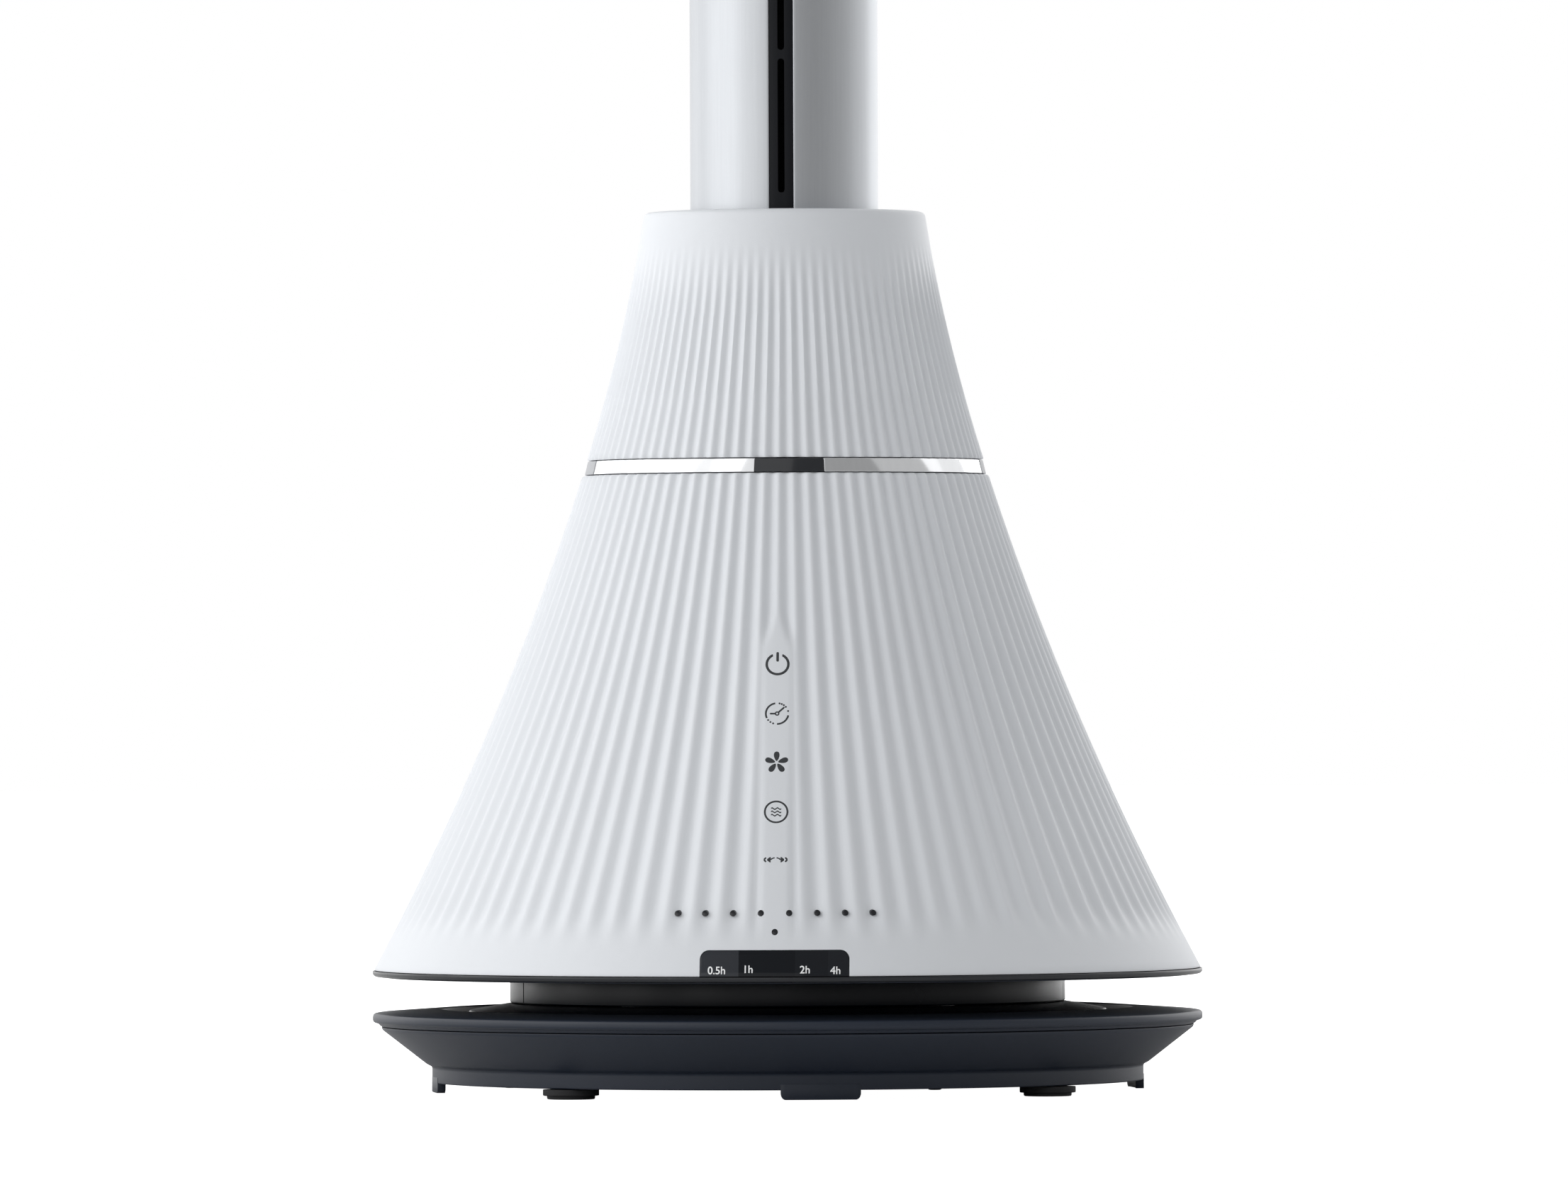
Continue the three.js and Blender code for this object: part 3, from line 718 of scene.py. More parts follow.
@dataclass(frozen=True)
class TimerGlass:
    """The smoked timer window, with a faintly lighter painted reflection across its left end and in two fainter steps
    towards its right end, behind its left and right marks.
    """

    name: str
    slot: str
    colour: tuple[float, float, float]
    # Painted reflection: the lighter colour stands in for light reflected at the window's sides.
    painted_reflection_colour: tuple[float, float, float]
    # Steps of the painted reflection across the window: where each starts, in millimetres from the middle, and how far
    # it goes towards the lighter colour.
    cells: tuple[tuple[float, float], ...] = ((-12.7, 0.0), (7.2, 0.16), (18.7, 0.3))

    def build(self) -> bpy.types.Material:
        """Returns the material."""
        surface = Surface(self.name)
        level = surface.nodes.new("ShaderNodeMapping")
        level.inputs["Rotation"].default_value = (0, 0, -REST_SWING)
        split = surface.nodes.new("ShaderNodeSeparateXYZ")
        across = surface.nodes.new("ShaderNodeMapRange")
        half_width = 26.5 * MM
        across.inputs["From Min"].default_value = -half_width
        across.inputs["From Max"].default_value = half_width
        # A stepped ramp across the window paints the reflection: lighter at the left end, dark in the middle, and
        # lighter in steps towards the right end.
        ramp = surface.nodes.new("ShaderNodeValToRGB").color_ramp
        ramp.interpolation = "CONSTANT"
        ramp.elements[0].color = (*self.painted_reflection_colour, 1)
        ramp.elements[1].position = 1.0
        ramp.elements[1].color = (*self.colour, 1)
        for edge, share in self.cells:
            stop = ramp.elements.new((edge / 26.5 + 1) / 2)
            stop.color = (*(a + (b - a) * share for a, b in zip(self.colour, self.painted_reflection_colour)), 1)
        ramp.elements[-1].color = ramp.elements[-2].color
        surface.link(surface.place, level.inputs["Vector"])
        surface.link(level.outputs["Vector"], split.inputs["Vector"])
        surface.link(split.outputs["X"], across.inputs["Value"])
        ramp_node = surface.nodes["Color Ramp"]
        surface.link(across.outputs["Result"], ramp_node.inputs["Fac"])
        surface.link(ramp_node.outputs["Color"], surface.shader.inputs["Base Color"])
        grain = surface.group(EFFECTS.grain, Fine_Scale=300.0)
        rough = surface.spread(grain.outputs["Broad"], 0.09, 0.14)
        surface.link(rough, surface.shader.inputs["Roughness"])
        surface.constants(IOR=1.3)
        return surface.material


class Finishes:
    """Every finish of the fan, each material built once and handed out by key."""

    RECIPES = {
        "white": Moulded(
            "white_satin_shell", "white_shell",
            (0.765, 0.79, 0.825), 0.46, 0.02, 1100.0, 0.012, 0.02, 0.0,
        ),
        "black": Moulded(
            "black_satin_base", "black_shell",
            (0.0125, 0.019, 0.034), 0.42, 0.018, 1300.0, 0.10, 0.02, 0.06,
        ),
        "trim": Moulded(
            "black_trim", "black_gloss",
            (0.016, 0.018, 0.022), 0.28, 0.008, 1500.0, 0.08, 0.04, 0.08,
        ),
        "neck": Moulded(
            "black_polished_neck", "black_gloss",
            (0.003, 0.005, 0.009), 0.26, 0.004, 900.0, 0.05, 0.0, 0.0, 0.0, 1.32,
        ),
        "gloss": Moulded(
            "black_gloss", "black_gloss",
            (0.012, 0.014, 0.018), 0.14, 0.002, 600.0, 0.05, 0.02, 0.03, 0.4,
        ),
        "strip": Moulded(
            "black_slot_strip", "black_gloss",
            (0.003, 0.004, 0.0065), 0.42, 0.004, 900.0, 0.05, 0.0, 0.0, 0.0, 1.3,
        ),
        "rubber": Moulded(
            "black_rubber", "rubber",
            (0.016, 0.016, 0.018), 0.72, 0.05, 1600.0, 0.12, 0.10, 0.05,
        ),
        "grey": Moulded(
            "grey_moulding", "grey_plastic",
            (0.42, 0.43, 0.45), 0.45, 0.02, 1200.0, 0.03, 0.04, 0.03,
        ),
        "nylon": Moulded("natural_nylon", "nylon", (0.76, 0.74, 0.67), 0.5, 0.015, 900.0, 0.03, 0.03, 0.02),
        "smoked": Moulded(
            "smoked_light_pipe", "clear_plastic",
            (0.014, 0.015, 0.018), 0.2, 0.002, 500.0, 0.05, 0.0, 0.0,
        ),
        "ink": Moulded("icon_ink", "black_shell", (0.035, 0.038, 0.043), 0.5, 0.004, 2500.0, 0.06, 0.0, 0.0),
        "marks": Moulded("white_marks", "white_shell", (0.93, 0.94, 0.95), 0.5, 0.004, 2500.0, 0.02, 0.0, 0.0),
        "aluminium": Metal(
            "satin_anodised_column", "column_aluminium",
            (0.545, 0.562, 0.585), 0.43, 0.001, 1400.0, 0.05,
        ),
        "chrome": Metal("bright_band", "chrome_band", (0.86, 0.87, 0.885), 0.11, 0.0006, 500.0, 0.0),
        "steel": Metal("plain_steel", "steel", (0.48, 0.49, 0.50), 0.34, 0.006, 700.0, 0.06),
        "foam": Foam("filter_foam", "filter_foam", (0.07, 0.075, 0.08)),
        "board": CircuitBoard("coated_board", "board", (0.02, 0.14, 0.07)),
        "winding": Winding("copper_winding", "copper_winding", (0.72, 0.34, 0.14)),
        "timer": TimerGlass(
            "smoked_timer_glass", "black_gloss",
            # The second colour is the painted reflection at the window's sides.
            (0.007, 0.0085, 0.0115), (0.035, 0.038, 0.045),
        ),
    }

    def __init__(self) -> None:
        """Builds every material."""
        self.made = {key: recipe.build() for key, recipe in self.RECIPES.items()}

    def dress(self, obj: bpy.types.Object, key: str, body: Body, *nodes: str) -> bpy.types.Object:
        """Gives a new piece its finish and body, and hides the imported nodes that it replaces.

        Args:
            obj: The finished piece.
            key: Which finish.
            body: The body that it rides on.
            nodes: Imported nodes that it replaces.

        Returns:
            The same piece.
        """
        if not obj.data.materials:
            obj.data.materials.append(self.made[key])
        else:
            obj.data.materials[0] = self.made[key]
        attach(obj, body.value)
        if nodes:
            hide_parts(*nodes)
        LOG.info("%s: %s on %s, %d faces", obj.name, key, body.value, len(obj.data.polygons))
        return obj

    def repaint(self, node: str, key: str) -> None:
        """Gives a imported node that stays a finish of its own."""
        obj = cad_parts[node]
        obj.data.materials.clear()
        obj.data.materials.append(self.made[key])
        LOG.info("%s: kept, %s", node, key)


# ------------------------------------------------------------------------------ the base
@dataclass
class Base:
    """The weighted base: plate, pan with its tabs, feet, screws and power inlet."""

    finishes: Finishes
    rim_radius: float = 150.0
    plate_top: float = 30.4
    recess: tuple[float, float, float] = (116.0, 125.0, 27.2)
    well_floor: float = 22.4
    hub_bore: float = 18.2
    skirt_radius: float = 128.6
    tab_width: float = 28.6
    socket_radius: float = 3.4

    def build(self) -> None:
        """Makes every piece of the base."""
        self.plate()
        self.pan()
        self.feet()
        self.screws()
        self.inlet()
        for node in ("ballast_plate", "pivot_hub", "hub_retainer"):
            self.finishes.repaint(node, "steel")
        for node in ("swing_gear", "slide_ring"):
            self.finishes.repaint(node, "nylon")

    def plate(self) -> None:
        """The top moulding: a soft rim, a gently rising top, an annular recess and the turntable's well."""
        recess_inner, recess_outer, recess_floor = self.recess
        rim = self.rim_radius
        obj = turned("base_cover", rounded([
            Corner(self.hub_bore, self.well_floor - 2.4),
            Corner(recess_inner + 2.6, self.well_floor - 2.4, 1.0),
            Corner(recess_inner + 2.6, 24.8, 0.5),
            Corner(rim - 2.8, 24.2, 0.3),
            Corner(rim - 1.9, 25.2, 0.5),
            Corner(rim, 25.7, 0.9),
            Corner(rim, 28.75, 1.3),
            Corner(rim - 6, 29.15, 3.0),
            Corner(recess_outer, self.plate_top, 0.9),
            Corner(recess_outer, recess_floor, 0.7),
            Corner(recess_inner, recess_floor, 0.6),
            Corner(recess_inner, self.well_floor, 0.6),
            Corner(self.hub_bore, self.well_floor),
        ]), 192)
        smooth(obj)
        self.finishes.dress(obj, "black", Body.BASE, "base_plate")

    def pan(self) -> None:
        """The lower moulding: conical underside, skirt, four tabs and the notch for the inlet."""
        skirt = self.skirt_radius
        inner = skirt - 2.6
        obj = turned("base_tray", rounded([
            Corner(0, 5.0),
            Corner(inner, 5.0, 0.6),
            Corner(inner, 3.8, 0.2),
            Corner(skirt, 3.8, 0.5),
            Corner(skirt, 9.5, 0.8),
            Corner(130.4, 10.3, 0.9),
            Corner(146.6, 22.9, 0.9),
            Corner(146.9, 23.9, 0.3),
            Corner(143.6, 23.9, 0.3),
            Corner(inner, 10.6, 1.5),
            Corner(inner, 7.4, 0.6),
            Corner(0, 7.4),
        ]), 192)
        low, high = (Vector(corner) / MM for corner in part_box("dc_inlet"))
        notch = block("notch", (low.x - 0.3, low.y - 0.3, low.z - 0.3), (high.x + 0.3, 152, high.z + 0.3))
        combine(obj, notch, Cut.REMOVE)
        for i in range(4):
            x, y = self.on_circle(112.0, 22.5 + 90 * i)
            combine(obj, drum("screw_hole", 1.8, 10, (x, y, 6), sides=20), Cut.REMOVE)
        obj = gather("base_tray", [obj, *around(self.tab(), [math.radians(90 * i) for i in range(4)])])
        smooth(obj)
        self.finishes.dress(obj, "black", Body.BASE, "base_pan")

    def tab(self) -> bpy.types.Object:
        """One curved tab at the front of the skirt, its lower corners rounded."""
        half = math.degrees(self.tab_width / 2 / self.skirt_radius)
        outer, inner = self.skirt_radius + 0.12, self.skirt_radius - 2.9
        outline = [(inner, 0.4), (outer, 0.4), (outer, 6), (inner, 6)]
        obj = turned("tab", outline, 16, -half, 2 * half)
        ends = (-self.tab_width / 2, self.tab_width / 2)
        choose(obj, "edges", lambda e: self.is_low_end(obj, e, ends))
        with kept_selection(obj):
            bpy.ops.mesh.bevel(offset=2.4 * MM, segments=6, affect="EDGES")
        soften(obj, 0.3, 2, 50)
        tidy(obj, 0.03)
        return obj

    def is_low_end(self, obj: bpy.types.Object, edge: bpy.types.MeshEdge, ends: tuple[float, float]) -> bool:
        """Whether an edge runs through the tab's thickness at one of its two lower corners."""
        middle = edge_middle(obj, edge)
        first, second = (obj.data.vertices[i].co for i in edge.vertices)
        through = abs(first.xy.length - second.xy.length) > 2 * MM
        return through and middle.z < 1 and min(abs(middle.x - end) for end in ends) < 1.0

    @staticmethod
    def on_circle(radius: float, degrees: float) -> Point:
        """A point at a distance from the axis and an angle from +X."""
        angle = math.radians(degrees)
        return radius * math.cos(angle), radius * math.sin(angle)

    def feet(self) -> None:
        """Four round rubber feet with a narrower tread and a ring groove under it."""
        for i in range(4):
            low, high = (Vector(corner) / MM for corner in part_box(f"foot_{i + 1}"))
            top = high.z
            obj = turned(f"rubber_foot_{i + 1}", rounded([
                Corner(0, 0.5), Corner(4.2, 0.5, 0.2), Corner(4.8, 0, 0.3), Corner(8.5, 0, 0.5),
                Corner(8.6, 1.2, 0.2), Corner(10, 1.3, 0.4), Corner(10, 3.5, 0.3), Corner(4.5, 3.5, 0.2),
                Corner(4.5, top, 0.2), Corner(0, top),
            ]), 48)
            middle = (low + high) / 2 * MM
            obj.location = (middle.x, middle.y, 0)
            settle(obj)
            smooth(obj)
            self.finishes.dress(obj, "rubber", Body.BASE, f"foot_{i + 1}")

    def screws(self) -> None:
        """Pan screws with a domed head and a cross recess."""
        for i in range(4):
            x, y = self.on_circle(112.0, 22.5 + 90 * i)
            obj = turned(f"tray_screw_{i + 1}", rounded([
                Corner(0, 2.95), Corner(2.2, 2.95, 0.8), Corner(3.0, 4.0, 0.6), Corner(3.0, 4.7, 0.1),
                Corner(1.4, 4.7, 0.1), Corner(1.4, 15.5, 0.3), Corner(0, 16.7),
            ]), 32)
            for size in ((2.6, 0.6), (0.6, 2.6)):
                tool = block("recess", (-size[0] / 2, -size[1] / 2, 2), (size[0] / 2, size[1] / 2, 3.9))
                combine(obj, tool, Cut.REMOVE)
            obj.location = (x * MM, y * MM, 0)
            settle(obj)
            smooth(obj)
            self.finishes.dress(obj, "steel", Body.BASE, f"pan_screw_{i + 1}")

    def inlet(self) -> None:
        """The power socket at the back: a rounded housing, a round mouth with a collar, and its centre pin."""
        low, high = (Vector(corner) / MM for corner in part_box("dc_inlet"))
        middle = (low + high) / 2
        obj = block("power_inlet", tuple(low), tuple(high))
        soften(obj, 0.8, 3)
        combine(obj, drum("mouth", self.socket_radius, 20, (0, high.y + 1, middle.z), "Y", 48), Cut.REMOVE)
        combine(obj, drum("collar", self.socket_radius + 1.0, 1.2, (0, high.y, middle.z), "Y", 48), Cut.REMOVE)
        smooth(obj)
        self.finishes.dress(obj, "gloss", Body.BASE, "dc_inlet")
        pin = drum("inlet_pin", 0.95, 8.6, (0, high.y - 5.0, middle.z), "Y", 24)
        soften(pin, 0.4, 3)
        smooth(pin)
        self.finishes.dress(pin, "steel", Body.BASE)


# ------------------------------------------------------------------------------ the turning floor
@dataclass
class TurningFloor:
    """The underside of the swinging body: turntable, neck, trim ring, grille and the swing drive."""

    finishes: Finishes
    disc_radius: float = 115.3
    neck_radius: float = 100.4
    rim_radius: float = 150.0
    groove_angles: tuple[float, ...] = (-69.2, 83.8)
    grille_slots: int = 24

    def build(self) -> None:
        """Makes every piece of the floor."""
        self.turntable()
        self.neck()
        self.trim()
        self.grille()
        self.finishes.repaint("intake_filter", "foam")
        self.finishes.repaint("swing_pinion", "nylon")
        self.finishes.repaint("stepper_motor", "steel")

    def turntable(self) -> None:
        """The disc that turns in the base's well, its edge sloping up to the neck."""
        obj = turned("turntable_disc", rounded([
            Corner(18.4, 29.6), Corner(58, 29.6, 0.5), Corner(58, 24.4, 0.5), Corner(115.3, 24.4, 0.5),
            Corner(self.disc_radius, 29.7, 0.9), Corner(self.neck_radius + 1.8, 32.0, 0.8),
            Corner(self.neck_radius - 0.2, 32.3, 0.2), Corner(97.4, 32.3, 0.3), Corner(97.4, 27, 0.6),
            Corner(60.6, 27, 0.6), Corner(60.6, 32.2, 0.6), Corner(21.5, 32.2, 0.4), Corner(21.5, 36, 0.3),
            Corner(18.4, 36, 0.3),
        ]), 192)
        combine(obj, drum("shaft_hole", 4, 20, (-45, 0, 31), sides=32), Cut.REMOVE)
        settle(obj, REST_SWING)
        smooth(obj)
        self.finishes.dress(obj, "neck", Body.FAN, "turntable")

    def neck(self) -> None:
        """The neck wall, with a shallow parting groove down each side."""
        outer = self.neck_radius
        obj = turned("neck", rounded([
            Corner(outer - 2.6, 32.6, 0.3), Corner(outer, 32.6, 0.5),
            Corner(outer, 41.5, 0.3), Corner(outer - 2.6, 41.5, 0.3),
        ]), 192)
        for angle in self.groove_angles:
            tool = block("groove", (-0.45, -outer - 2, 30), (0.45, -outer + 0.7, 44))
            combine(obj, settle(tool, math.radians(angle)), Cut.REMOVE)
        settle(obj, REST_SWING)
        smooth(obj)
        self.finishes.dress(obj, "neck", Body.FAN, "neck_ring")

    def trim(self) -> None:
        """The black ring under the cone's edge."""
        obj = turned("trim_edge", rounded([
            Corner(146.7, 42.1, 0.3), Corner(149.2, 42.1, 0.7), Corner(self.rim_radius, 42.9, 0.6),
            Corner(self.rim_radius, 44.1, 0.25), Corner(146.7, 44.1, 0.2),
        ]), 256)
        settle(obj, REST_SWING)
        smooth(obj)
        self.finishes.dress(obj, "trim", Body.FAN, "trim_ring")

    def grille(self) -> None:
        """The slotted ring under the cone that the air is drawn through."""
        obj = turned("air_grille", rounded([
            Corner(94, 41.8, 0.3), Corner(146.4, 41.8, 0.3), Corner(146.4, 43.8, 0.3), Corner(94, 43.8, 0.3),
        ]), 192)
        slot = block("slot", (-1.7, -143.4, 40), (1.7, -105.4, 46))
        choose(slot, "edges", lambda e: abs(edge_middle(slot, e).z - 43) < 0.1)
        with kept_selection(slot):
            bpy.ops.mesh.bevel(offset=1.65 * MM, segments=4, affect="EDGES")
        slots = gather("slots", around(slot, [FULL_TURN * i / self.grille_slots for i in range(self.grille_slots)]))
        combine(obj, slots, Cut.REMOVE)
        settle(obj, REST_SWING)
        smooth(obj)
        self.finishes.dress(obj, "black", Body.FAN, "intake_grille")


# ------------------------------------------------------------------------------ the fluted housing
@dataclass(frozen=True)
class Flare:
    """Outline of a flared shell: radius and slope at its top edge, and how fast the slope grows."""

    low: float
    high: float
    radius: float
    slope: float
    bend: float

    def at(self, height: float | np.ndarray) -> float | np.ndarray:
        """Radius at a height, or at each of an array of heights."""
        drop = self.high - height
        return self.radius + self.slope * drop + self.bend * drop * drop


LOWER_FLARE = Flare(44.4, 222.6, 73.5, 0.32, 0.000598)
UPPER_FLARE = Flare(228.2, 316.9, 50.9, 0.155, 0.000909)


@dataclass
class Fluting:
    """Shallow upright flutes round a flared shell, with their crests on its outline."""

    flare: Flare
    count: int = 89
    depth_share: float = 0.0185
    widest: float = 98.0
    fade_low: tuple[float, float] = (0.0, 1.0)
    fade_high: tuple[float, float] = (900.0, 901.0)
    strip_half_width: float = 0.0
    strip_start: tuple[float, float] = (159.0, 171.0)
    strip_blend: float = 3.6

    def cut_into(self, points: np.ndarray) -> np.ndarray:
        """Presses the flutes into the outer wall.

        Args:
            points: Vertices in millimetres.

        Returns:
            The moved vertices.
        """
        radius = np.hypot(points[:, 0], points[:, 1])
        angle = np.arctan2(points[:, 0], -points[:, 1])
        height = points[:, 2]
        outer = radius > self.flare.at(height) - 0.9
        wave = (1 - np.cos(angle * self.count)) / 2
        low = blend_step((height - self.fade_low[0]) / (self.fade_low[1] - self.fade_low[0]))
        high = blend_step((self.fade_high[1] - height) / (self.fade_high[1] - self.fade_high[0]))
        depth = self.depth_share * np.minimum(radius, self.widest) * wave**0.9 * low * high * outer
        depth *= self.beside_strip(radius * angle, height)
        scale = 1 - depth / np.maximum(radius, 1)
        moved = points.copy()
        moved[:, 0] *= scale
        moved[:, 1] *= scale
        return moved

    def beside_strip(self, across: np.ndarray, height: np.ndarray) -> np.ndarray:
        """0 on the flat icon strip and 1 away from it, the strip coming to a point at its top."""
        if not self.strip_half_width:
            return np.ones_like(height)
        full, tip = self.strip_start
        width = self.strip_half_width * blend_step((tip - height) / (tip - full))
        return blend_step((np.abs(across) - width) / self.strip_blend + (width <= 0))


@dataclass
class Housing:
    """The white lower and upper cones, the timer window, the lights behind the shell and the touch board."""

    finishes: Finishes
    wall: float = 2.6
    samples: int = 8
    window_half_width: float = 26.5
    window_top: float = 53.5
    dot_radius: float = 1.0
    dot_count: int = 8
    dot_pitch: float = 4.15
    dot_height: float = 66.5
    status_height: float = 59.9

    def build(self) -> None:
        """Makes every piece of the housing."""
        self.lower_cone()
        self.upper_cone()
        self.window()
        self.lights()
        for node in ("display_board", "touch_board", "control_board"):
            self.finishes.repaint(node, "board")
        self.finishes.repaint("wiring_loom", "rubber")

    def wall_outline(self, flare: Flare, rows: int, top: list[Point]) -> list[Point]:
        """A shell's closed outline: many rows outside, a few inside.

        Args:
            flare: The outside.
            rows: Rows up the outside.
            top: Points from the outer to the inner top edge.

        Returns:
            (radius, height) points.
        """
        low, high = flare.low, top[0][1]
        heights = [low + 0.5 + (high - low - 1.0) * i / rows for i in range(rows + 1)]
        outside = [(flare.at(low) - 0.35, low)] + [(flare.at(z), z) for z in heights]
        inner_high = top[-1][1]
        steps = [inner_high + (low - inner_high) * i / 8 for i in range(1, 9)]
        return outside + top + [(flare.at(z) - self.wall, z) for z in steps]

    def lower_cone(self) -> None:
        """The lower cone, with the window's notch and the holes for the dots."""
        flare = LOWER_FLARE
        high, radius = flare.high, flare.radius
        top = [(radius - 0.1, high - 0.35), (radius - 0.5, high), (radius - self.wall, high)]
        flutes = Fluting(flare, fade_low=(55.0, 69.0), strip_half_width=4.3)
        obj = turned("cone_lower", self.wall_outline(flare, 72, top), flutes.count * self.samples)
        reshape(obj, flutes.cut_into)
        combine(obj, self.window_block("window_notch", 0.15), Cut.REMOVE)
        holes = [self.dot_tool(angle, self.dot_height, 0.12) for angle in self.dot_angles()]
        holes.append(self.dot_tool(0.0, self.status_height, 0.12))
        combine(obj, gather("holes", holes), Cut.REMOVE)
        settle(obj, REST_SWING)
        smooth(obj, 40)
        self.finishes.dress(obj, "white", Body.FAN, "lower_cone")

    def upper_cone(self) -> None:
        """The upper cone, closed at the top round the column."""
        flare = UPPER_FLARE
        high, radius = flare.high, flare.radius
        bore = 34.4
        top = [
            (radius + 0.1, high - 0.9), (radius - 0.1, high - 0.2), (radius - 0.7, high + 0.4),
            (radius - 1.7, high + 0.8), (bore + 0.5, high + 1.1), (bore, high + 0.8), (bore, high - 1.4),
            (radius - 3.4, high - 1.8), (flare.at(310) - self.wall, 310),
        ]
        flutes = Fluting(flare, fade_high=(279.0, 307.0))
        obj = turned("cone_upper", self.wall_outline(flare, 40, top), flutes.count * self.samples)
        reshape(obj, flutes.cut_into)
        settle(obj, REST_SWING)
        smooth(obj, 40)
        self.finishes.dress(obj, "white", Body.FAN, "upper_cone")

    def window_block(self, name: str, margin: float) -> bpy.types.Object:
        """The window's outline as a thick block with rounded top corners, grown all round by a margin."""
        half, top, low = self.window_half_width - 0.3 + margin, self.window_top + margin, 40.0
        obj = block(name, (-half, -160, low), (half, -100, top))
        corner = Vector((half, 0, top))
        choose(obj, "edges", lambda e: self.at_corner(edge_middle(obj, e), corner))
        with kept_selection(obj):
            bpy.ops.mesh.bevel(offset=3.3 * MM, segments=10, affect="EDGES")
        return obj

    @staticmethod
    def at_corner(middle: Vector, corner: Vector) -> bool:
        """Whether a depthwise edge's middle lies at one of the two upper corners."""
        return abs(middle.z - corner.z) < 0.1 and abs(abs(middle.x) - corner.x) < 0.1

    def window(self) -> None:
        """The smoked window, flush in its notch, with its four timer marks."""
        flare = LOWER_FLARE
        rows = [44.4 + (self.window_top - 44.4) * i / 6 for i in range(7)]
        outline = [(flare.at(z) - 0.12, z) for z in rows] + [(flare.at(z) - 2.2, z) for z in reversed(rows)]
        obj = turned("timer_window", outline, 48, -15, 30)
        combine(obj, self.window_block("outline", 0.0), Cut.KEEP_COMMON)
        soften(obj, 0.22, 2, 50)
        settle(obj, REST_SWING)
        smooth(obj, 25)
        self.finishes.dress(obj, "timer", Body.FAN, "display_window")
        marks = (("0.5h", -20.4, 45.3), ("1h", -9.3, 45.7), ("2h", 10.8, 45.5), ("4h", 21.6, 45.2))
        for label, across, base in marks:
            self.mark(label, across, base)

    def mark(self, label: str, across: float, base: float) -> None:
        """One small white timer mark, printed on the window."""
        clear_selection()
        bpy.ops.object.text_add()
        text = bpy.context.object
        text.data.body = label
        text.data.align_x = "CENTER"
        text.data.size = 3.75 * MM
        text.data.extrude = 0.02 * MM
        pick(text)
        bpy.ops.object.convert(target="MESH")
        obj = bpy.context.object
        obj.name = "timer_mark_" + label.replace(".", "_")
        tidy(obj, 0.0005)
        with editing(obj):
            bpy.ops.transform.shrink_fatten(value=0.08 * MM)
        finish_modifier(obj, "SUBSURF", levels=1, render_levels=1, subdivision_type="SIMPLE")
        wrapped = Printed(across, base, rise=1.0)
        reshape(obj, lambda points: wrapped.wrap(points[:, [0, 2, 1]] * (1, 0.3, 1), lift=-0.06))
        tidy(obj, 0.0005)
        settle(obj, REST_SWING)
        self.finishes.dress(obj, "marks", Body.FAN)

    def dot_angles(self) -> list[float]:
        """Angles of the speed dots from the front, in degrees."""
        return [(i - (self.dot_count - 1) / 2) * self.dot_pitch for i in range(self.dot_count)]

    def dot_tool(self, angle: float, height: float, margin: float) -> bpy.types.Object:
        """A round bar through the shell at an angle from the front."""
        radius = LOWER_FLARE.at(height)
        obj = drum("dot_tool", self.dot_radius + margin, 24, (0, -radius, height), "Y", 28)
        return settle(obj, math.radians(angle))

    def lights(self) -> None:
        """The light pipes: a curved bar with eight pins, and the status light on its own."""
        inside = LOWER_FLARE.at(self.dot_height + 2) - self.wall - 0.8
        low, high = self.dot_height - 2, self.dot_height + 2
        outline = [(inside - 3, low), (inside, low), (inside, high), (inside - 3, high)]
        bar = turned("speed_lights", outline, 32, -16, 32)
        for angle in self.dot_angles():
            combine(bar, self.light_pin(angle, self.dot_height, inside - 1.5), Cut.JOIN)
        settle(bar, REST_SWING)
        smooth(bar)
        self.finishes.dress(bar, "smoked", Body.FAN, "light_guide")
        status = self.light_pin(0.0, self.status_height, 135.0)
        combine(status, drum("flange", 2.4, 2.0, (0, -136.0, self.status_height), "Y", 28), Cut.JOIN)
        settle(status, REST_SWING)
        smooth(status)
        self.finishes.dress(status, "smoked", Body.FAN, "status_light")

    def light_pin(self, angle: float, height: float, start: float) -> bpy.types.Object:
        """One light pin from a radius out to the shell, with a softly domed end that follows the slope."""
        end = LOWER_FLARE.at(height) - 0.02
        pin = drum("pin", self.dot_radius, end - start, (0, -(start + end) / 2, height), "Y", 28)
        lean = LOWER_FLARE.slope + 2 * LOWER_FLARE.bend * (LOWER_FLARE.high - height)

        def slope(points: np.ndarray) -> np.ndarray:
            """Tips the outer end so that it lies in the shell's slope."""
            outer = points[:, 1] < -(end - 0.5)
            points[:, 1] += outer * (points[:, 2] - height) * lean
            return points

        reshape(pin, slope)
        soften(pin, 0.12, 2)
        return settle(pin, math.radians(angle))


# ------------------------------------------------------------------------------ printed icons
@dataclass(frozen=True)
class Printed:
    """Where a flat drawing is printed on the lower cone: its place, and how far it rises per millimetre drawn."""

    across: float
    height: float
    rise: float = 0.92

    def wrap(self, points: np.ndarray, lift: float = 0.02) -> np.ndarray:
        """Lays flat points on the cone.

        Args:
            points: x across, z up the drawing and y outwards, in millimetres.
            lift: How far above the shell's outline the drawing's middle lies.

        Returns:
            The points on the shell, with the front towards -Y.
        """
        height = self.height + points[:, 2] * self.rise
        radius = LOWER_FLARE.at(height)
        angle = (self.across + points[:, 0]) / radius
        out = radius + lift + points[:, 1]
        return np.column_stack((out * np.sin(angle), -out * np.cos(angle), height))


